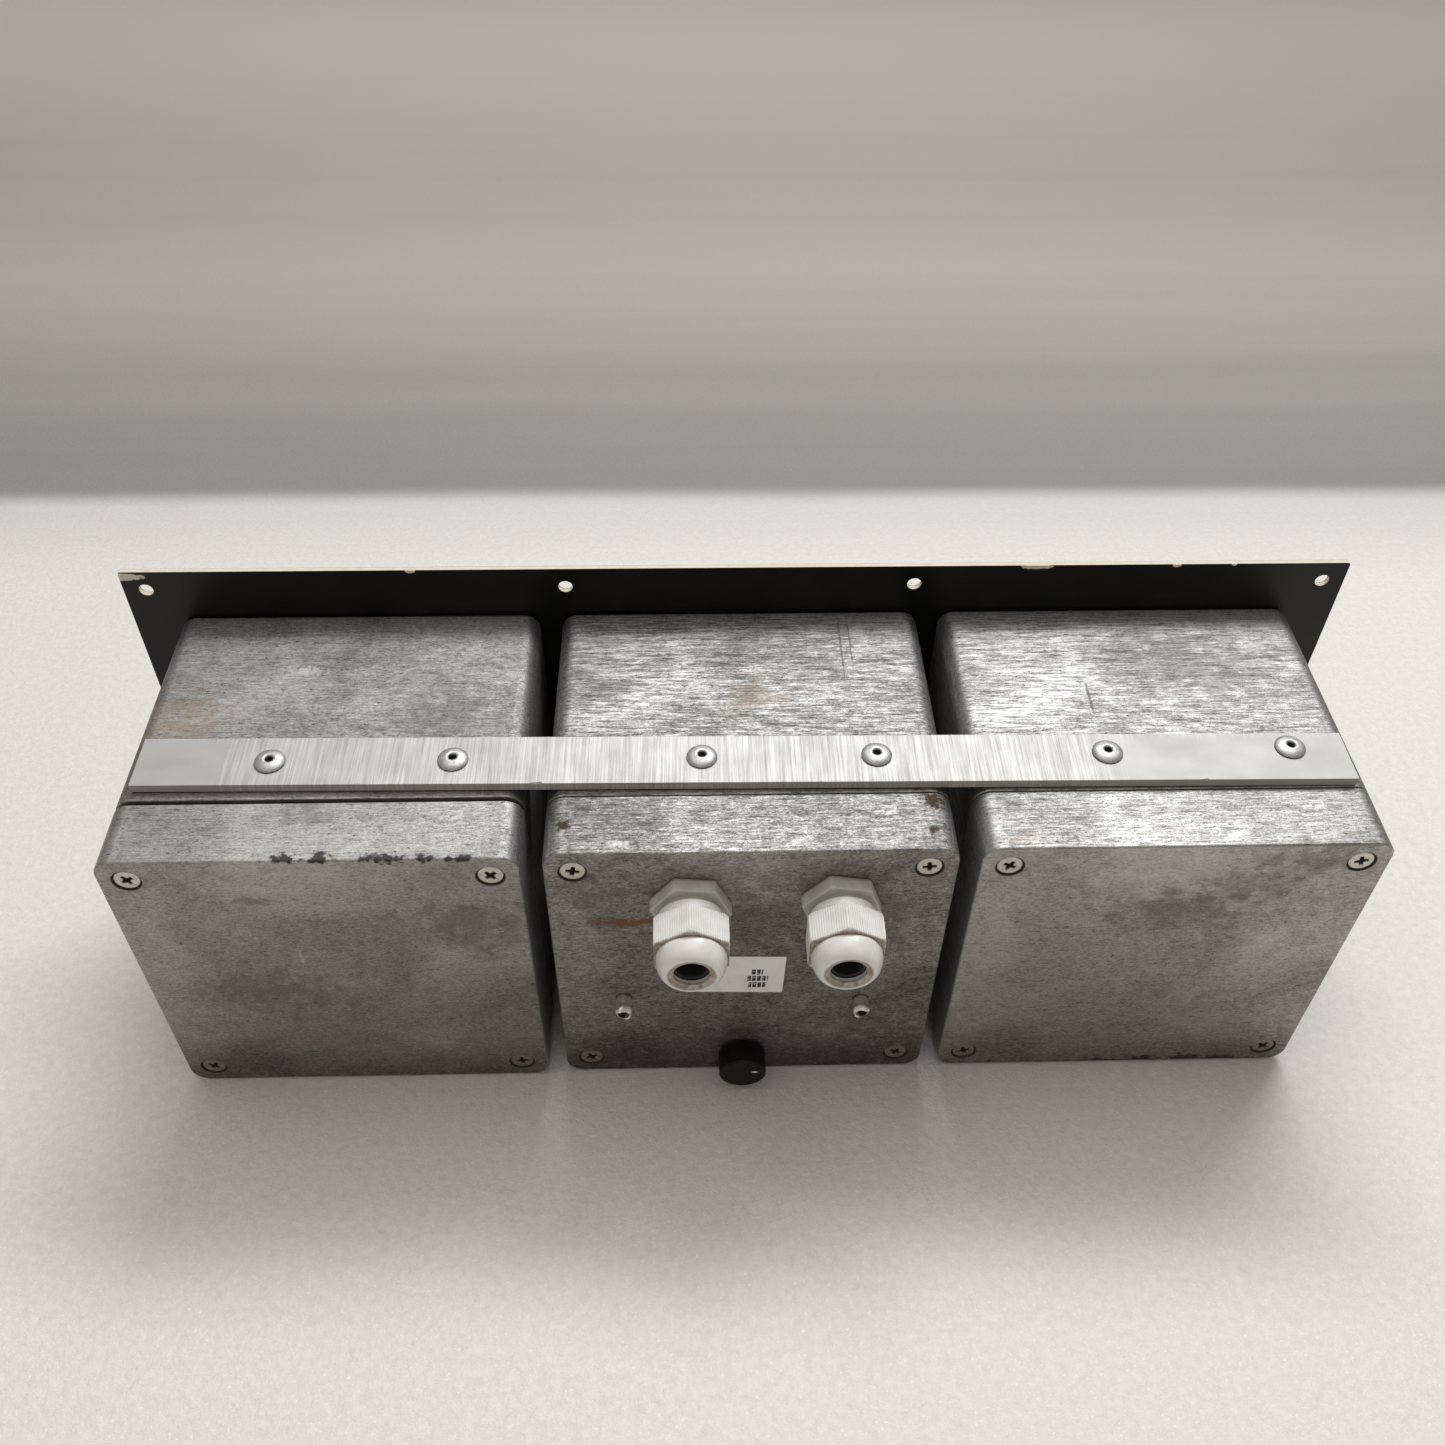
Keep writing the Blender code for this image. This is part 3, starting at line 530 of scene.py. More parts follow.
def moulded(name, slot, colour, shade, rough, grime=0.0, grime_at=None, gloss=0.5):
    """Moulded plastic or rubber, mottled between two shades, with brown grime where grime_at says."""
    f = Finish(name, slot)
    cloud = f.noise(160, 4, 0.6)
    grain = f.noise(2600, 2, 0.5)
    paint = f.mix(f.ramp(cloud, 0.35, 0.65), colour, shade)
    roughness = f.add(rough, f.swing(cloud, 0.2))
    if grime_at:
        dirty = f.times(grime_at(f), f.ramp(f.noise(420, 5, 0.7, 0.6), 0.10, 0.62), grime)
        paint = f.mix(dirty, paint, (0.24, 0.17, 0.105))
        roughness = f.add(roughness, f.times(dirty, 0.3))
    return f.surface(
        Base_Color=paint, Roughness=roughness, Specular_IOR_Level=gloss, Normal=f.bump(grain, 0.012 * MM)
    )


def from_axis(f):
    """Distance from the piece's own Y axis."""
    x, _, z = f.axes(f.place)
    return f.maths("SQRT", f.add(f.times(x, x), f.times(z, z)))


def nut_grime(f):
    """Grime round a gland's mouth and on the shoulder where its flats end."""
    y = f.axes(f.place)[1]
    radius = from_axis(f)
    mouth = f.times(f.ramp(radius, 7.7 * MM, 6.7 * MM), f.ramp(y, 25.6 * MM, 26.2 * MM))
    shoulder = f.times(f.ramp(y, 19.5 * MM, 20.3 * MM), f.ramp(y, 21.0 * MM, 20.6 * MM))
    return f.either(mouth, shoulder)


def collar_grime(f):
    """Grime in the corner between the hexagon and the lid."""
    return f.ramp(f.axes(f.place)[1], 1.6 * MM, 0.2 * MM)


def circuit_laminate():
    """Green board with rows of tinned pads and printed tracks."""
    f = Finish("circuit_laminate", "circuit_board")
    x, y, _ = f.axes(f.place)
    pitch = 2.54 * MM
    across = f.minus(f.maths("PINGPONG", x, pitch / 2), pitch / 4)
    along = f.minus(f.maths("PINGPONG", y, pitch / 2), pitch / 4)
    square = f.maths("SQRT", f.add(f.times(across, across), f.times(along, along)))
    pads = f.ramp(square, 0.5 * MM, 0.42 * MM)
    tracks = f.ramp(f.maths("ABSOLUTE", along), 0.28 * MM, 0.20 * MM)
    green = f.mix(f.times(tracks, 0.6), (0.014, 0.085, 0.028), (0.03, 0.17, 0.05))
    return f.surface(
        Base_Color=f.mix(pads, green, (0.62, 0.60, 0.55)),
        Metallic=pads,
        Roughness=f.blend(pads, 0.38, 0.30),
        Normal=f.bump(f.add(pads, f.times(tracks, 0.5)), 0.03 * MM),
    )


def label_stock():
    """White self-adhesive label, yellowed and scuffed, with three short rows of plain dashes."""
    f = Finish("label_stock", "label_paper")
    x, _, z = f.axes(f.place)
    printed = 0.0
    for row, (rise, start, end) in enumerate(LABEL_ROWS):
        start, end, rise = start * MM, end * MM, rise * MM
        across = f.times(f.ramp(x, start - 0.1 * MM, start), f.ramp(x, end + 0.1 * MM, end))
        height = f.ramp(f.maths("ABSOLUTE", f.minus(z, rise)), 1.55 * MM, 1.35 * MM)
        dashes = f.ramp(f.maths("PINGPONG", f.add(x, row * 0.3 * MM), 0.8 * MM), 0.14 * MM, 0.20 * MM)
        printed = f.either(printed, f.times(across, height, dashes))
    worn = f.ramp(f.noise(900, 5, 0.7), 0.30, 0.50)
    printed = f.times(printed, worn)
    yellowed = f.ramp(f.noise(110, 5, 0.6), 0.40, 0.75)
    paper = f.mix(yellowed, (0.86, 0.87, 0.87), (0.76, 0.74, 0.68))
    return f.surface(
        Base_Color=f.mix(printed, paper, (0.012, 0.012, 0.013)),
        Roughness=f.add(0.42, f.times(yellowed, 0.2)),
        Normal=f.bump(f.noise(300, 4), 0.03 * MM),
    )


# Rows of dashes: height above the label's middle, start and end, in millimetres.
LABEL_ROWS = (
    (1.5, -7.0, -3.3),
    (-2.1, -8.8, -2.2),
    (-5.7, -8.1, -2.7),
)


# ---------------------------------------------------------------- castings

# Marks in millimetres: across from the box's middle, back from the panel, and up from the centre.
BOX_MARKS = {
    "left": [
        ("line", (17.7, 45, 60), (0.5, 6.5, 2)),
        ("film", (35.6, 26.4, 60), (0.5, 3, 2)),
        ("film", (-20, 30, 60), (22, 12, 2)),
    ],
    "middle": [
        ("film", (2.8, 15.3, 60), (4.5, 2.6, 2)),
        ("film", (-25.5, 26.5, 60), (6, 6, 2)),
        ("film", (45.6, 36.9, 60), (5.5, 3.5, 2)),
        ("film", (52.2, 23.8, 60), (2.5, 1.8, 2)),
        ("line", (-33.4, 18.5, 60), (0.4, 15, 2)),
        ("line", (-36.6, 16, 60), (0.35, 11, 2)),
        ("tan", (-3.2, 42.6, 60), (6, 6, 2)),
    ],
    "right": [
        ("bright", (13, 28.4, 60), (5.5, 1.6, 2)),
        ("film", (-0.8, 19, 60), (1.7, 1.7, 2)),
        ("tan", (50, 52, 60), (10, 10, 4)),
        ("film", (-35, 50, 60), (12, 10, 2)),
    ],
}
LID_MARKS = {
    "left": [
        ("scuff", (3.5, 107.3, -59.6), (58, 1.5, 0.7)),
        ("scuff", (5, 107.3, -59.0), (4, 2, 1.4)),
        ("scuff", (-12, 107.3, -58.6), (5, 2, 1.9)),
        ("scuff", (-26, 107.3, -58.6), (6, 2, 2.2)),
        ("scuff", (-38, 107.3, -58.9), (7, 2, 1.6)),
        ("film", (-3.3, 107.5, 30), (16, 3, 7)),
        ("film", (-22, 107.5, 40), (14, 3, 5)),
        ("film", (-39, 107.5, 53), (13, 3, 6)),
        ("tan", (51, 103.4, 60), (3.2, 2.2, 2)),
    ],
    "middle": [
        ("pit", (-56.1, 88.5, 60), (3.0, 2.4, 2)),
        ("pit", (-54.3, 99.4, 60), (1.6, 1.0, 2)),
        ("pit", (55.8, 96.2, 60), (1.9, 1.9, 2)),
        ("bright", (39.3, 103.7, 60), (3, 1.5, 2)),
        ("rust", (38.6, 107.5, 26.6), (12, 2, 2.0)),
        ("film", (0, 107.5, -48), (62, 4, 14)),
        ("film", (47.5, 107.5, 40.8), (5, 2, 9)),
        ("film", (-2, 107.5, 25), (10, 2, 16)),
        ("film", (-40, 107.5, 30), (9, 2, 14)),
    ],
    "right": [
        ("scuff", (6, 108.2, 60.2), (3.4, 2.2, 1.3)),
        ("scuff", (-4, 108.2, 60.2), (3.0, 3.2, 1.2)),
        ("scuff", (-22, 108.2, 60.2), (5.2, 1.8, 1.3)),
        ("scuff", (-35, 108.2, 60.2), (2.6, 1.6, 1.2)),
        ("scuff", (-45, 108.2, 60.2), (3.2, 1.3, 1.1)),
        ("film", (19.4, 108.6, 41.6), (6, 2, 1.4)),
        ("film", (-19.2, 108.6, 32.2), (4, 2, 1.6)),
        ("film", (-42.2, 108.6, 37.2), (3.2, 2, 1.1)),
        ("film", (-46.4, 108.6, 27), (12, 2, 10)),
        ("film", (20, 108.6, -6), (14, 2, 8)),
        ("bright", (10.1, 108.6, 12.3), (0.4, 2, 3.8)),
        ("film", (1.7, 88.3, 60), (6, 5, 2)),
    ],
}
# Tone, streak strength and mottling of each box and each lid, and the painted light on each lid's face: how
# much lighter its face is painted.
BOX_TONES = {"left": (0.44, 1.8, 0.8), "middle": (0.34, 1.8, 0.9), "right": (0.35, 0.7, 0.8)}
LID_TONES = {"left": (0.45, 1.3, 0.8), "middle": (0.30, 1.3, 1.2), "right": (0.43, 0.7, 0.7)}
PAINTED_FACE_LIGHT = {"left": 0.09, "middle": 0.02, "right": 0.02}

BOX_CORNER = 6.0 * MM
BOX_DRAFT = 0.6 * MM
BASE_EDGE = 1.8 * MM
FACE_EDGE = 0.9 * MM
SEAM_EDGE = 0.45 * MM
WALL = 3.0 * MM
COLUMN_RADIUS = 6.4 * MM
SCREW_HOLE = 4.3 * MM
SCREW_CLEARANCE = 2.2 * MM
JACK_HOLE = 4.9 * MM
RIVET_HOLE = 2.6 * MM
BUSH_HOLE = 7.3 * MM


def origin(side):
    """The middle of a box's joint with the panel."""
    return Vector((centre(f"{side}_box").x, PANEL_BACK, CENTRE_Z))


def local(point, side):
    return Vector(point) - origin(side)


def inside_outline(width, height, screw):
    """The inside of a box wall, which bends round a screw column in each corner."""
    to_side = width / 2 - WALL - screw.x
    to_top = height / 2 - WALL - screw.z
    start = -math.acos(to_side / COLUMN_RADIUS)
    end = -math.pi - math.asin(to_top / COLUMN_RADIUS)
    angles = [start + (end - start) * step / CORNER_STEPS for step in range(CORNER_STEPS + 1)]
    quarter = [
        (screw.x + COLUMN_RADIUS * math.cos(angle), screw.z + COLUMN_RADIUS * math.sin(angle))
        for angle in angles
    ]
    back = list(reversed(quarter))
    return (
        quarter
        + [(-x, z) for x, z in back]
        + [(-x, -z) for x, z in quarter]
        + [(x, -z) for x, z in back]
    )


def screw_centres(side):
    """The four lid screw axes of a box, in the box's own place."""
    places = [local(centre(f"{side}_lid_screw_{number}"), side) for number in range(1, 5)]
    return [Vector((place.x, 0, place.z)) for place in places]


def rivet_centres(side):
    places = [local(centre(f"strip_rivet_{number}"), side) for number in range(1, 7)]
    low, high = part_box(f"{side}_box")
    return [place for place in places if abs(place.x) < (high.x - low.x) / 2]


def build_box(side):
    low, high = (local(corner, side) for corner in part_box(f"{side}_box"))
    width, height = high.x - low.x, high.z - low.z
    base = low.y + 3.5 * MM
    bm = casting(width, height, BOX_CORNER, high.y, low.y, SEAM_EDGE, BASE_EDGE, BOX_DRAFT)
    made = loose(f"{side}_box_casting", bm)
    screws = screw_centres(side)
    reach = Vector((max(screw.x for screw in screws), 0, max(screw.z for screw in screws)))
    pocket = inside_outline(width, height, reach)
    combine(made, skin([(pocket, base), (pocket, high.y + 5 * MM)]))
    drill(made, screws, SCREW_CLEARANCE, high.y - 20 * MM, high.y + 5 * MM)
    jacks = [local(centre(f"{side}_jack_{number}"), side) for number in range(1, 5)]
    drill(made, [(jack.x, 0, jack.z) for jack in jacks], JACK_HOLE, low.y - 5 * MM, base + 5 * MM)
    tops = [(rivet.x, rivet.y, high.z) for rivet in rivet_centres(side)]
    drill(made, tops, RIVET_HOLE, -3 * WALL, 3 * WALL, "Z")
    bushes = [local(centre(f"{end}_link_bush"), side) for end in GLANDS]
    bushes = [bush for bush in bushes if abs(bush.x) < width * 0.75]
    drill(made, bushes, BUSH_HOLE, -12 * MM, 12 * MM, "X")
    finish = cast_metal(f"cast_{side}_box", *BOX_TONES[side], 0.0, BOX_MARKS[side])
    piece(made, finish, [f"{side}_box"], at=origin(side))


def build_lid(side):
    low, high = (local(corner, side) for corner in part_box(f"{side}_lid"))
    width, height = high.x - low.x, high.z - low.z
    bm = casting(width, height, BOX_CORNER, low.y, high.y, SEAM_EDGE, FACE_EDGE)
    made = loose(f"{side}_lid_casting", bm)
    screws = screw_centres(side)
    reach = Vector((max(screw.x for screw in screws), 0, max(screw.z for screw in screws)))
    pocket = inside_outline(width, height, reach)
    combine(made, skin([(pocket, low.y - 5 * MM), (pocket, high.y - 3.2 * MM)]))
    rebate = rounded_rectangle(width - 2.6 * MM, height - 2.6 * MM, BOX_CORNER - 1.3 * MM)
    combine(made, skin([(rebate, low.y - 5 * MM), (rebate, low.y + 1.6 * MM)]))
    countersink = [
        (SCREW_CLEARANCE, low.y - 5 * MM),
        (SCREW_CLEARANCE, high.y - 3.05 * MM),
        (SCREW_HOLE - 0.15 * MM, high.y - 0.5 * MM),
        (SCREW_HOLE, high.y - 0.12 * MM),
        (SCREW_HOLE + 0.4 * MM, high.y + 0.2 * MM),
    ]
    for screw in screws:
        combine(made, moved(lathe(countersink), Matrix.Translation(screw)))
    if side == "middle":
        fit_middle_lid(made, high.y)
    finish = cast_metal(f"cast_{side}_lid", *LID_TONES[side], PAINTED_FACE_LIGHT[side], LID_MARKS[side], 1.0)
    piece(made, finish, [f"{side}_lid"], at=origin(side))


def fit_middle_lid(made, face):
    """Holes for the cable glands, the level control and the bracket rivets."""
    holes = [(f"{end}_gland_body", 8.1 * MM) for end in GLANDS]
    holes.append(("level_pot_nut", 4.3 * MM))
    holes += [(f"bracket_rivet_{number}", RIVET_HOLE) for number in (1, 2)]
    for node, radius in holes:
        place = local(centre(node), "middle")
        drill(made, [(place.x, 0, place.z)], radius, face - 8 * MM, face + 5 * MM)


def build_gasket(side, finish):
    low, high = (local(corner, side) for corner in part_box(f"{side}_gasket"))
    size = Vector((high.x - low.x, high.z - low.z))
    corner = BOX_CORNER - 1.6 * MM
    outer = rounded_rectangle(size.x, size.y, corner)
    inner = rounded_rectangle(size.x - 3.4 * MM, size.y - 3.4 * MM, corner - 1.7 * MM)
    bulge = rounded_rectangle(size.x - 0.3 * MM, size.y - 0.3 * MM, corner - 0.15 * MM)
    middle = (low.y + high.y) / 2
    ring = [(bulge, low.y), (outer, middle - 0.3 * MM), (outer, middle + 0.3 * MM), (bulge, high.y)]
    ring += [(inner, high.y), (inner, low.y)]
    piece(loose(f"{side}_gasket_ring", skin(ring, True)), finish, [f"{side}_gasket"], at=origin(side))


# ---------------------------------------------------------------- panel and its front

FIXING_RADIUS = 2.45 * MM
FIXING_EDGE = 7.6 * MM
FIXING_INNER_X = 59.3 * MM
ENGRAVED_DEPTH = 0.4 * MM
ENGRAVED_WIDTH = 0.6 * MM


def engraved_line(width, height, corner, at):
    """The cutter of a rectangular line engraved through the panel's front skin."""
    front, floor = -PANEL_THICKNESS - 1 * MM, -PANEL_THICKNESS + ENGRAVED_DEPTH
    outer = rounded_rectangle(width, height, corner, 4, at)
    inner = rounded_rectangle(
        width - 2 * ENGRAVED_WIDTH, height - 2 * ENGRAVED_WIDTH, corner - ENGRAVED_WIDTH, 4, at
    )
    return skin([(outer, front), (outer, floor), (inner, floor), (inner, front)], True)


def build_panel(finish):
    place = Vector((0, PANEL_BACK, CENTRE_Z))
    width, height = PANEL_HIGH.x - PANEL_LOW.x, PANEL_HIGH.z - PANEL_LOW.z
    edge = 0.15 * MM
    whole = rounded_rectangle(width, height, 1.0 * MM, 5)
    eased = rounded_rectangle(width - 2 * edge, height - 2 * edge, 1.0 * MM - edge, 5)
    rows = [(eased, -PANEL_THICKNESS), (whole, -PANEL_THICKNESS + edge), (whole, -edge), (eased, 0)]
    made = loose("front_panel_laminate", skin(rows))
    outer_x, outer_z = width / 2 - FIXING_EDGE, height / 2 - FIXING_EDGE
    columns = (-outer_x, -FIXING_INNER_X, FIXING_INNER_X, outer_x)
    fixings = [(x, 0, z) for x in columns for z in (-outer_z, outer_z)]
    drill(made, fixings, FIXING_RADIUS, -2 * PANEL_THICKNESS, PANEL_THICKNESS)
    jacks = [centre(f"{side}_jack_{number}") - place for side in SIDES for number in range(1, 5)]
    drill(made, [(jack.x, 0, jack.z) for jack in jacks], JACK_HOLE, -2 * PANEL_THICKNESS, PANEL_THICKNESS)
    for side in SIDES:
        box = centre(f"{side}_box") - place
        combine(made, engraved_line(120 * MM, 128 * MM, 4 * MM, (box.x, box.z)))
    for jack in jacks:
        combine(made, engraved_line(36 * MM, 8 * MM, 1.2 * MM, (jack.x, jack.z - 17 * MM)))
    piece(made, finish, ["front_panel"], at=place)


def build_jack(node, nylon, plated):
    low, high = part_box(node)
    at = seat(node, PANEL_BACK)
    nose, back = low.y - PANEL_BACK, high.y - PANEL_BACK
    housing = high.x - low.x
    shoulder = 4.1 * MM
    square = rounded_rectangle(housing, housing, 2 * MM)
    eased = rounded_rectangle(housing - 0.8 * MM, housing - 0.8 * MM, 1.6 * MM)
    sides = len(square)
    round_at = lambda radius: circle(radius, sides, -math.pi / 2)
    rows = [
        (round_at(3.25 * MM), back - 3 * MM),
        (round_at(3.25 * MM), nose + 0.6 * MM),
        (round_at(3.7 * MM), nose),
        (round_at(4.35 * MM), nose),
    ]
    turns = 5
    for turn in range(2 * turns + 1):
        depth = nose + 0.3 * MM + turn * 0.35 * MM
        rows.append((round_at((4.6 if turn % 2 else 4.4) * MM), depth))
    rows += [(round_at(4.6 * MM), shoulder), (eased, shoulder), (square, shoulder + 0.4 * MM)]
    rows += [(square, back - 0.4 * MM), (eased, back)]
    piece(loose(f"{node}_socket", skin(rows)), nylon, [node], at=at)
    front = -PANEL_THICKNESS
    washer = [(4.8, 0.05), (7.4, 0.05), (7.5, 0.2), (7.5, 0.6), (7.4, 0.75), (4.8, 0.75)]
    ring = lathe([(radius * MM, front - along * MM) for radius, along in washer], closed=True)
    piece(loose(f"{node}_washer", ring), plated, at=at)
    flats = hexagon(13 * MM, math.radians(sum(map(ord, node)) % 60), 0.5 * MM)
    start, end = front - 0.8 * MM, front - 2.9 * MM
    nut = [
        (same_angles(flats, 4.75 * MM), start),
        (inset(flats, 0.97), start),
        (flats, start - 0.25 * MM),
        (flats, end + 0.35 * MM),
        (inset(flats, 0.95), end),
        (same_angles(flats, 5.0 * MM), end),
    ]
    piece(loose(f"{node}_nut", skin(nut, True)), plated, at=at)


# ---------------------------------------------------------------- tie strip and rivets

STRIP_SIZE = Vector((373.0, 19.5, 3.0)) * MM
STRIP_SKEW = math.radians(-0.46)
DOME_HEIGHT = 1.5 * MM


def build_strip(finish):
    place = centre("tie_strip")
    bm = bmesh.new()
    bmesh.ops.create_cube(bm, size=1, matrix=Matrix.Diagonal((*STRIP_SIZE, 1)))
    bmesh.ops.bevel(bm, geom=bm.edges[:], offset=0.22 * MM, segments=2, profile=0.5, affect="EDGES")
    made = loose("tie_strip_bar", bm)
    unskewed = Matrix.Rotation(-STRIP_SKEW, 4, "Z")
    holes = [unskewed @ (centre(f"strip_rivet_{number}") - place) for number in range(1, 7)]
    drill(made, [(hole.x, hole.y, 0) for hole in holes], RIVET_HOLE, -5 * MM, 5 * MM, "Z")
    for x, length, depth in STRIP_NICKS:
        nick = bmesh.new()
        size = (length * MM, 2 * depth * MM, 2 * depth * MM)
        bmesh.ops.create_cube(nick, size=1, matrix=Matrix.Diagonal((*size, 1)))
        moved(nick, Matrix.Rotation(math.radians(45), 4, "X"))
        bmesh.ops.rotate(nick, verts=nick.verts, matrix=Matrix.Rotation(math.radians(7), 3, "Z"))
        moved(nick, Matrix.Translation((x * MM, STRIP_SIZE.y / 2, STRIP_SIZE.z / 2)))
        combine(made, nick)
    piece(made, finish, ["tie_strip"], at=place, turn=(0, 0, STRIP_SKEW))


# Nicks along the strip's upper rear edge: place along it, length and depth, in millimetres.
STRIP_NICKS = ((64.4, 3.6, 0.34), (118.0, 1.4, 0.20), (-21.5, 1.1, 0.18), (-139.0, 2.2, 0.22))


def rivet_head():
    """Half-section of a set blind rivet's head: broken mandrel, mouth and dome."""
    dome = [(4.75, 0.0), (4.74, 0.18), (4.55, 0.48), (4.1, 0.84), (3.5, 1.12), (2.9, 1.31), (2.45, 1.40)]
    mouth = [(2.2, 1.48), (1.95, 1.5), (1.6, 1.45), (1.34, 1.3), (1.2, 1.0), (1.12, 0.4), (1.1, -0.3)]
    mandrel = [(0.8, -0.35), (0.6, -0.2), (0.3, -0.1)]
    return in_mm(reversed(dome + mouth + mandrel))


def build_strip_rivet(number, finish):
    node = f"strip_rivet_{number}"
    low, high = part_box(node)
    foot = high.z - DOME_HEIGHT
    end = low.z - foot
    tail = [(2.3 * MM, 0.0), (2.3 * MM, end + 5 * MM), (2.9 * MM, end + 4.4 * MM)]
    tail += [(2.9 * MM, end + 0.6 * MM), (2.4 * MM, end)]
    made = loose(f"{node}_set", lathe(rivet_head() + tail))
    at = ((low.x + high.x) / 2, (low.y + high.y) / 2, foot)
    piece(made, finish, [node], at=at, turn=(math.pi / 2, 0, math.radians(70 * number)), crease=40)


def build_bracket_rivet(number, finish):
    """A blind rivet set from inside, so that its crimped tail shows outside the lid."""
    node = f"bracket_rivet_{number}"
    low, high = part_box(node)
    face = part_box("middle_lid")[1].y
    at = seat(node, face)
    inner, tip = low.y - face, high.y - face
    head = [(radius, inner + DOME_HEIGHT - rise) for radius, rise in rivet_head()]
    shank = [(2.3 * MM, inner + DOME_HEIGHT), (2.3 * MM, 0.35 * MM)]
    crimped = [(2.45, 0.10), (2.55, 0.20), (2.50, 0.38), (2.36, 0.46), (2.42, 0.52), (2.78, 0.62)]
    crimped += [(2.92, 0.74), (2.84, 0.86), (2.55, 0.95), (2.2, 1.0), (1.92, 0.98), (1.76, 0.90)]
    crimped += [(1.65, 0.62)]
    tail = [(radius * MM, share * tip) for radius, share in crimped]
    bm = lathe(head + shank + tail)
    for vert in bm.verts:
        if vert.co.y > 0.6 * tip:
            bent = (vert.co.y / tip - 0.6) / 0.4
            vert.co.x *= 1 + 0.10 * bent
            vert.co.z *= 1 - 0.22 * bent
            vert.co.y -= 0.30 * bent * abs(vert.co.z + vert.co.x * (0.5 if number == 1 else -0.5))
    turn = (0, math.radians(25 if number == 1 else -30), 0)
    piece(loose(f"{node}_set", bm), finish, [node], at=at, turn=turn, crease=45)


# ---------------------------------------------------------------- lid screws


def cross_outline(arm, half):
    """The outline of a cross recess: arms of the given reach and half width."""
    quarter = [(arm, -half), (arm, half), (half * 1.25, half * 1.25)]
    points = []
    for turn in range(4):
        spin = Matrix.Rotation(math.pi / 2 * turn, 2)
        points += [tuple(spin @ Vector(point)) for point in quarter]
    return points


# How far each lid screw's cross is turned, in degrees.
SCREW_TURNS = {"left": (12, -28, 55, 20), "middle": (6, -10, 62, 24), "right": (40, 33, 8, 51)}


def build_screw(side, number, finish, low_finish):
    node = f"{side}_lid_screw_{number}"
    low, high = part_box(node)
    # The lower row of screws gets a darker, grimier copy of the steel: part dirt, part painted shade of the
    # lid's lower half.
    finish = low_finish if high.z < CENTRE_Z else finish
    length = high.y - low.y
    head = [(3.35, 0.0), (3.62, -0.05), (3.80, -0.18), (3.85, -0.34), (3.80, -0.45), (1.95, -2.1)]
    profile = in_mm(head)
    profile += [(1.9 * MM, 1.2 * MM - length), (1.3 * MM, -length)]
    made = loose(f"{node}_steel", lathe(profile))
    recess = ((2.25, 0.62, 0.2), (2.0, 0.55, -0.3), (1.35, 0.44, -1.3), (0.5, 0.2, -2.0))
    rows = [(cross_outline(arm * MM, half * MM), depth * MM) for arm, half, depth in recess]
    combine(made, skin(rows))
    at = seat(node, high.y)
    turn = (0, math.radians(SCREW_TURNS[side][number - 1]), 0)
    piece(made, finish, [node], at=at, turn=turn, crease=35)


# ---------------------------------------------------------------- cable glands

HEX_THICKNESS = 4.7 * MM
HEX_FLATS = 22.0 * MM
HEX_TURN = {"left": math.radians(11.0), "right": math.radians(6.2)}
LIP = 26.6 * MM
SEAT_START = 12.2 * MM
SEAT_END = 25.0 * MM
SLEEVE_END = 18.6 * MM
SLEEVE_RADIUS = 8.4 * MM
NUT_BORE = 8.7 * MM
NUT_MOUTH = 5.35 * MM
SEAL_SEAT = 7.3 * MM
NUT_START = 6.6 * MM
FLATS_START = 10.1 * MM
FLATS_END = 20.4 * MM
RIBS = 16
RIB_DEPTH = 0.30 * MM


def build_gland_body(side, finish):
    node = f"{side}_gland_body"
    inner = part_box(node)[0].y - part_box("middle_lid")[1].y
    flats = hexagon(HEX_FLATS, HEX_TURN[side], 1.3 * MM, 5)
    ring = lambda radius: same_angles(flats, radius)
    rows = [(ring(6.3 * MM), inner), (ring(6.3 * MM), SEAT_START)]
    rows += [(ring(SEAL_SEAT), SEAT_START), (ring(SEAL_SEAT), SLEEVE_END)]
    rows += [(ring(SLEEVE_RADIUS), SLEEVE_END), (ring(SLEEVE_RADIUS), HEX_THICKNESS + 0.5 * MM)]
    rows += [(ring(8.9 * MM), HEX_THICKNESS)]
    for cut, rise in reversed(fillet(0.55 * MM)):
        share = 1 - cut / (HEX_FLATS / 2)
        rows.append((inset(flats, share), HEX_THICKNESS - 0.55 * MM + rise))
    rows += [(flats, 0.35 * MM), (inset(flats, 0.985), 0.1 * MM), (ring(7.8 * MM), 0.1 * MM)]
    rows += [(ring(7.8 * MM), inner)]
    made = loose(f"{node}_moulding", skin(rows, True))
    piece(made, finish, [node], at=gland_place(side), crease=35)


def gland_place(side):
    return seat(f"{side}_gland_body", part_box("middle_lid")[1].y)


def ribbed_hexagon(flats, turn):
    """A hexagon whose flats carry fine ribs, for the fingers' grip."""
    points = []
    length = flats / math.sqrt(3)
    for side in range(6):
        normal = turn + (side + 0.5) * math.pi / 3
        out = Vector((math.cos(normal), math.sin(normal)))
        along = Vector((-out.y, out.x))
        for rib in range(RIBS):
            for share, level in ((0.08, 1), (0.50, 1), (0.62, 0), (0.96, 0)):
                place = ((rib + share) / RIBS - 0.5) * length * 0.985
                points.append(tuple(out * (flats / 2 - (0 if level else RIB_DEPTH)) + along * place))
    return points


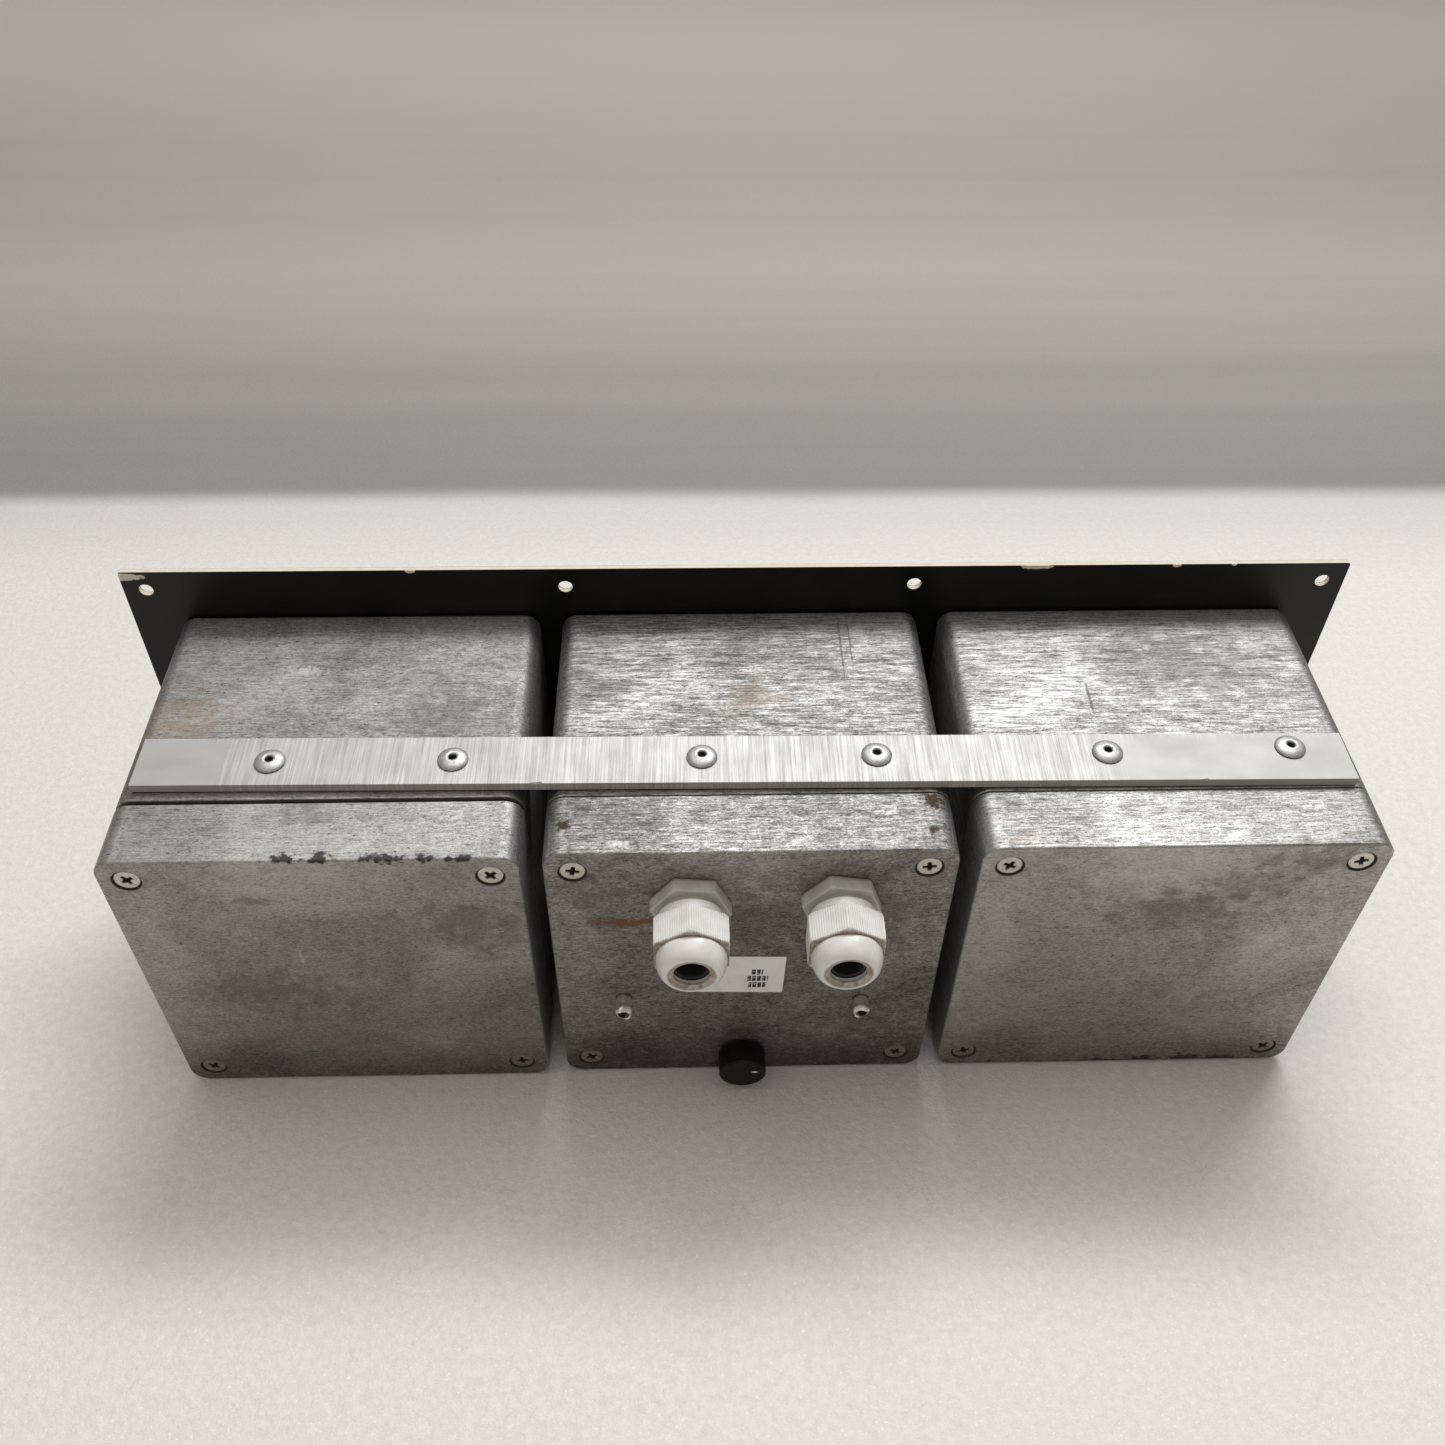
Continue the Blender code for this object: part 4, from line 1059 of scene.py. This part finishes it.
def build_gland_nut(side, finish):
    """The clamping nut: a ribbed hexagon between a round collar and a glossy dome."""
    node = f"{side}_gland_nut"
    grip = ribbed_hexagon(HEX_FLATS + 0.3 * MM, math.pi / 2)
    made = loose(f"{node}_moulding", skin([(grip, FLATS_START), (grip, FLATS_END)]))
    eased = [(0.5, 9.9), (12.0, 9.9), (12.6, 10.5), (12.8, 11.2), (12.8, 18.6), (12.45, 19.8), (11.9, 20.6)]
    combine(made, lathe(in_mm([*eased, (0.5, 20.6)]), 96), "INTERSECT")
    outside = [(1.0, 6.6), (9.8, 6.6), (10.2, 6.8), (10.35, 7.2), (10.35, 9.2), (9.9, 9.6), (9.9, 10.6)]
    outside += [(9.9, 19.4), (10.4, 19.9), (10.55, 20.3), (10.58, 21.2), (10.52, 22.3), (10.36, 23.4)]
    outside += [(10.1, 24.4), (9.7, 25.35), (9.2, 26.15), (8.65, 26.75), (8.1, 27.15), (7.6, 27.32)]
    outside += [(7.15, 27.28), (6.8, 27.05), (6.5, 26.78), (6.25, 26.66), (6.05, 26.6), (1.0, 26.6)]
    combine(made, lathe(in_mm(outside), 96), "UNION")
    bore = [
        (NUT_BORE, NUT_START - 1 * MM),
        (NUT_BORE, SLEEVE_END + 0.6 * MM),
        (SEAL_SEAT + 0.1 * MM, SLEEVE_END + 0.6 * MM),
        (SEAL_SEAT + 0.1 * MM, SEAT_END),
        (NUT_MOUTH, SEAT_END),
        (NUT_MOUTH, LIP - 0.35 * MM),
        (NUT_MOUTH + 0.12 * MM, LIP - 0.1 * MM),
        (NUT_MOUTH + 0.35 * MM, LIP + 0.1 * MM),
    ]
    combine(made, lathe(bore, 96))
    piece(made, finish, [node], body=f"{side}_gland_cap", at=gland_place(side), crease=20)


def build_gland_seal(side, finish):
    node = f"{side}_gland_seal"
    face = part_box("middle_lid")[1].y
    low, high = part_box(node)
    start, end = low.y - face, high.y - face
    outer = SEAL_SEAT - 0.3 * MM
    profile = [(4.7 * MM, start), (4.2 * MM, start + 0.8 * MM), (4.2 * MM, end - 0.9 * MM)]
    profile += [(4.5 * MM, end - 0.2 * MM), (4.9 * MM, end), (outer - 0.9 * MM, end)]
    profile += [(outer, end - 1 * MM), (outer, start)]
    made = loose(f"{node}_sleeve", lathe(profile, closed=True))
    piece(made, finish, [node], body=f"{side}_gland_clamp", at=gland_place(side))


# ---------------------------------------------------------------- knob and label

KNOB_FLUTES = 36


def fluted(radius, depth):
    """A round outline with shallow flutes."""
    points = []
    for step in range(KNOB_FLUTES * 4):
        turn = math.tau * step / (KNOB_FLUTES * 4)
        here = radius - depth * (1 if step % 4 == 0 else 0.5 if step % 2 else 0)
        points.append((here * math.cos(turn), here * math.sin(turn)))
    return points


def build_knob(black, white):
    low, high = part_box("level_knob")
    at = seat("level_knob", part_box("middle_lid")[1].y)
    start, end = low.y - at.y, high.y - at.y
    radius = (high.x - low.x) / 2
    socket_end = end - 1.6 * MM
    flutes = 0.13 * MM
    ring = lambda size: fluted(size, 0)
    rows = [(ring(3.3 * MM), socket_end), (ring(3.3 * MM), 3.3 * MM), (ring(6.8 * MM), 3.3 * MM)]
    rows += [(ring(6.8 * MM), start), (ring(radius - 0.35 * MM), start), (ring(radius), start + 0.35 * MM)]
    rows += [(ring(radius), start + 0.9 * MM), (fluted(radius, flutes), start + 1.1 * MM)]
    rows += [(fluted(radius - 0.1 * MM, flutes), end - 1.2 * MM), (ring(radius - 0.1 * MM), end - 1.0 * MM)]
    rows += [(ring(radius - 0.1 * MM - cut), end - 0.6 * MM + rise) for cut, rise in fillet(0.6 * MM)]
    rows += [(ring(6.4 * MM), end), (ring(6.2 * MM), end - 0.15 * MM)]
    made = loose("level_knob_moulding", skin(rows))
    piece(made, black, ["level_knob"], body="level_control", at=at)
    mark = in_mm(((0.5, -0.2), (0.5, 0.0), (0.42, 0.05)))
    bm = moved(lathe(mark, 24), Matrix.Diagonal((2.1, 1.0, 1.0, 1.0)))
    place = at + Vector((-4.1 * MM, end - 0.12 * MM, 0.9 * MM))
    piece(loose("level_knob_pointer", bm), white, body="level_control", at=place)


def build_label(finish):
    low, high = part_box("rear_label")
    turn = math.radians(-2.0)
    thickness = 0.10 * MM
    width, height = 28 * MM, 20 * MM
    outline = rounded_rectangle(width, height, 0.5 * MM, 4)
    made = loose("rear_label_sheet", skin([(outline, -thickness / 2), (outline, thickness / 2)]))
    piece(made, finish, ["rear_label"], at=(low + high) / 2, turn=(0, turn, 0))


def build_link_bush(side, finish):
    node = f"{side}_link_bush"
    low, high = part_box(node)
    half = (high.x - low.x) / 2
    profile = [(5.0, -half / MM), (5.0, half / MM), (6.7, half / MM), (7.0, half / MM - 0.3)]
    profile += [(7.0, 0.3 - half / MM), (6.7, -half / MM)]
    made = loose(f"{node}_tube", lathe(in_mm(profile), closed=True))
    piece(made, finish, [node], at=centre(node), turn=(0, 0, math.pi / 2))


# ---------------------------------------------------------------- assembly


def repaint(finish, *nodes):
    """Keeps CAD nodes as they are, with a better material."""
    for node in nodes:
        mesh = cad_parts[node].data
        mesh.materials.clear()
        mesh.materials.append(finish.material)


def build_object():
    rubber = moulded("black_rubber", "gasket_rubber", (0.015, 0.015, 0.015), (0.03, 0.03, 0.029), 0.75)
    worn = ("screw_steel_worn", "screw_steel", (0.42, 0.375, 0.32), (0.80, 0.74, 0.66), 0.40, 0.35)
    # The lower screws' copy is darker: part grime, part painted shade.
    dull = ("screw_steel_grimy_shaded", "screw_steel", (0.17, 0.15, 0.125), (0.40, 0.36, 0.31), 0.48, 0.8)
    steel, grimy_shaded_steel = [bright_metal(*finish, depth=0.45 * MM) for finish in (worn, dull)]
    set_aluminium = ("rivet_aluminium", (0.36, 0.36, 0.36), (0.70, 0.70, 0.70), 0.46, 0.30)
    rivets = bright_metal("rivet_head_set", *set_aluminium, mouth=1.3 * MM)
    tail_aluminium = ("rivet_aluminium", (0.60, 0.60, 0.59), (0.95, 0.95, 0.95), 0.30, 0.15)
    tails = bright_metal("rivet_tail_set", *tail_aluminium, mouth=1.85 * MM)
    plating = ("plated_steel", (0.42, 0.41, 0.38), (0.74, 0.73, 0.70))
    plated = bright_metal("plated_steel_dull", *plating, 0.24, 0.3)
    nylon = moulded("black_nylon", "jack_nylon", (0.018, 0.018, 0.018), (0.03, 0.03, 0.03), 0.42)
    greys = ("gland_grey", (0.50, 0.51, 0.45), (0.60, 0.60, 0.54))
    grey = moulded("grey_polyamide", *greys, 0.36, 0.7, collar_grime)
    whites = ("gland_white", (0.80, 0.81, 0.80), (0.73, 0.73, 0.70))
    white = moulded("white_polyamide", *whites, 0.22, 0.9, nut_grime)
    seal = moulded("seal_rubber_black", "seal_rubber", (0.012, 0.012, 0.012), (0.022, 0.022, 0.021), 0.60)
    blacks = ("knob_plastic", (0.003, 0.003, 0.003), (0.006, 0.006, 0.006))
    black = moulded("knob_black", *blacks, 0.38, gloss=0.2)
    for side in SIDES:
        build_box(side)
        build_lid(side)
        build_gasket(side, rubber)
        for number in range(1, 5):
            build_screw(side, number, steel, grimy_shaded_steel)
            build_jack(f"{side}_jack_{number}", nylon, plated)
    build_panel(laminate())
    build_strip(brushed_bar())
    for number in range(1, 7):
        build_strip_rivet(number, rivets)
    for number in (1, 2):
        build_bracket_rivet(number, tails)
    for side in GLANDS:
        build_gland_body(side, grey)
        build_gland_nut(side, white)
        build_gland_seal(side, seal)
        build_link_bush(side, plated)
        repaint(grey, f"{side}_gland_locknut")
    build_knob(black, white)
    build_label(label_stock())
    repaint(plated, "level_pot", "level_pot_nut", "level_pot_shaft", "board_bracket")
    repaint(circuit_laminate(), "circuit_board")


# ---------------------------------------------------------------- stage, light and camera

CAMERA_PLACE = (0.01890, PANEL_BACK + 0.36670, 0.45927)
CAMERA_TURN = (44.255, -0.630, 178.533)
CAMERA_LENS = 35.06
SHEET_BACK = -0.33


def resting_frame():
    """The floor's own axes: X, forward to the camera, and up, from where the panel's edge rests.

    The object leans back on the panel's lower edge and on the lids' lower edges.
    """
    low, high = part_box("right_lid")
    slope = math.atan2(low.z - PANEL_LOW.z, high.y - PANEL_BACK)
    return Matrix.Translation((0, PANEL_BACK, PANEL_LOW.z)) @ Matrix.Rotation(slope, 4, "X")


def floor_finish():
    """Pale grained sheet, with painted shade standing in for the dimmer backdrop: the sheet darkens towards
    its far edge, and behind it lies a greyer, banded tone that grows lighter further back.
    """
    f = Finish("pale_floor", None)
    _, forward, _ = f.axes(f.place)
    wavy = f.add(forward, f.times(f.noise((2, 2, 2), 2), 0.02))
    # Painted shade for the backdrop: grey and banded behind the far edge, and the pale sheet darkened near
    # that edge.
    behind = f.ramp(wavy, SHEET_BACK + 22 * MM, SHEET_BACK - 6 * MM)
    painted_edge_shade = f.ramp(wavy, SHEET_BACK + 120 * MM, SHEET_BACK + 10 * MM)
    bands = f.swing(f.noise((0.5, 14, 1), 4), 0.5)
    grey = f.mix(f.add(f.ramp(forward, SHEET_BACK, -0.8), bands), (0.27, 0.266, 0.25), (0.46, 0.452, 0.425))
    grey = f.mix(f.ramp(forward, -0.9, -2.0), grey, (0.90, 0.885, 0.84))
    speck = f.times(f.ramp(f.noise(900, 3, 0.7), 0.58, 0.70), 0.8)
    cloth = f.mix(f.noise(300, 5, 0.75), (0.62, 0.61, 0.585), (0.95, 0.94, 0.92))
    pale = f.mix(f.times(painted_edge_shade, 0.5), f.mix(speck, cloth, (0.98, 0.98, 0.97)), (0.55, 0.55, 0.54))
    grain = f.noise(420, 4, 0.7)
    return f.surface(
        Base_Color=f.mix(behind, pale, f.mix(f.times(speck, 0.25), grey, (0.9, 0.9, 0.88))),
        Roughness=f.blend(speck, 0.5, 0.25),
        Normal=f.bump(grain, 0.6 * MM),
    )


def build_stage():
    half = 4.0
    bm = bmesh.new()
    bmesh.ops.create_grid(bm, x_segments=1, y_segments=1, size=half)
    floor = loose("floor", bm)
    floor.matrix_world = resting_frame() @ Matrix.Translation((0, 0, -0.3 * MM))
    floor.data.materials.append(floor_finish().material)


def area_light(name, place, size, power, colour=(1, 1, 1)):
    """A soft box at a place in the floor's own axes, turned to the object."""
    data = bpy.data.lights.new(name, "AREA")
    data.shape = "RECTANGLE"
    data.size, data.size_y = size
    data.energy = power
    data.color = colour
    light = bpy.data.objects.new(name, data)
    light.location = resting_frame() @ Vector(place)
    aim = (cad_low + cad_high) / 2 - light.location
    light.rotation_mode = "QUATERNION"
    light.rotation_quaternion = aim.to_track_quat("-Z", "Y")
    bpy.context.scene.collection.objects.link(light)


def build_lights():
    area_light("key", (-0.32, -0.56, 1.57), (1.2, 0.42), 17.8)
    area_light("ceiling", (0.15, 0.1, 1.8), (1.4, 1.0), 7, (1.0, 0.95, 0.88))
    area_light("front_fill", (0.3, 1.4, 0.9), (1.2, 0.8), 1.2, (1.0, 0.93, 0.84))
    world = bpy.data.worlds.new("studio")
    world.use_nodes = True
    background = world.node_tree.nodes["Background"]
    background.inputs["Color"].default_value = (1.0, 0.965, 0.90, 1)
    background.inputs["Strength"].default_value = 0.33
    bpy.context.scene.world = world


def build_camera():
    data = bpy.data.cameras.new("camera")
    data.lens = CAMERA_LENS
    camera = bpy.data.objects.new("camera", data)
    camera.location = CAMERA_PLACE
    camera.rotation_euler = [math.radians(angle) for angle in CAMERA_TURN]
    bpy.context.scene.collection.objects.link(camera)
    bpy.context.scene.camera = camera
    bpy.context.scene.view_settings.view_transform = "Standard"


build_object()
build_stage()
build_lights()
build_camera()
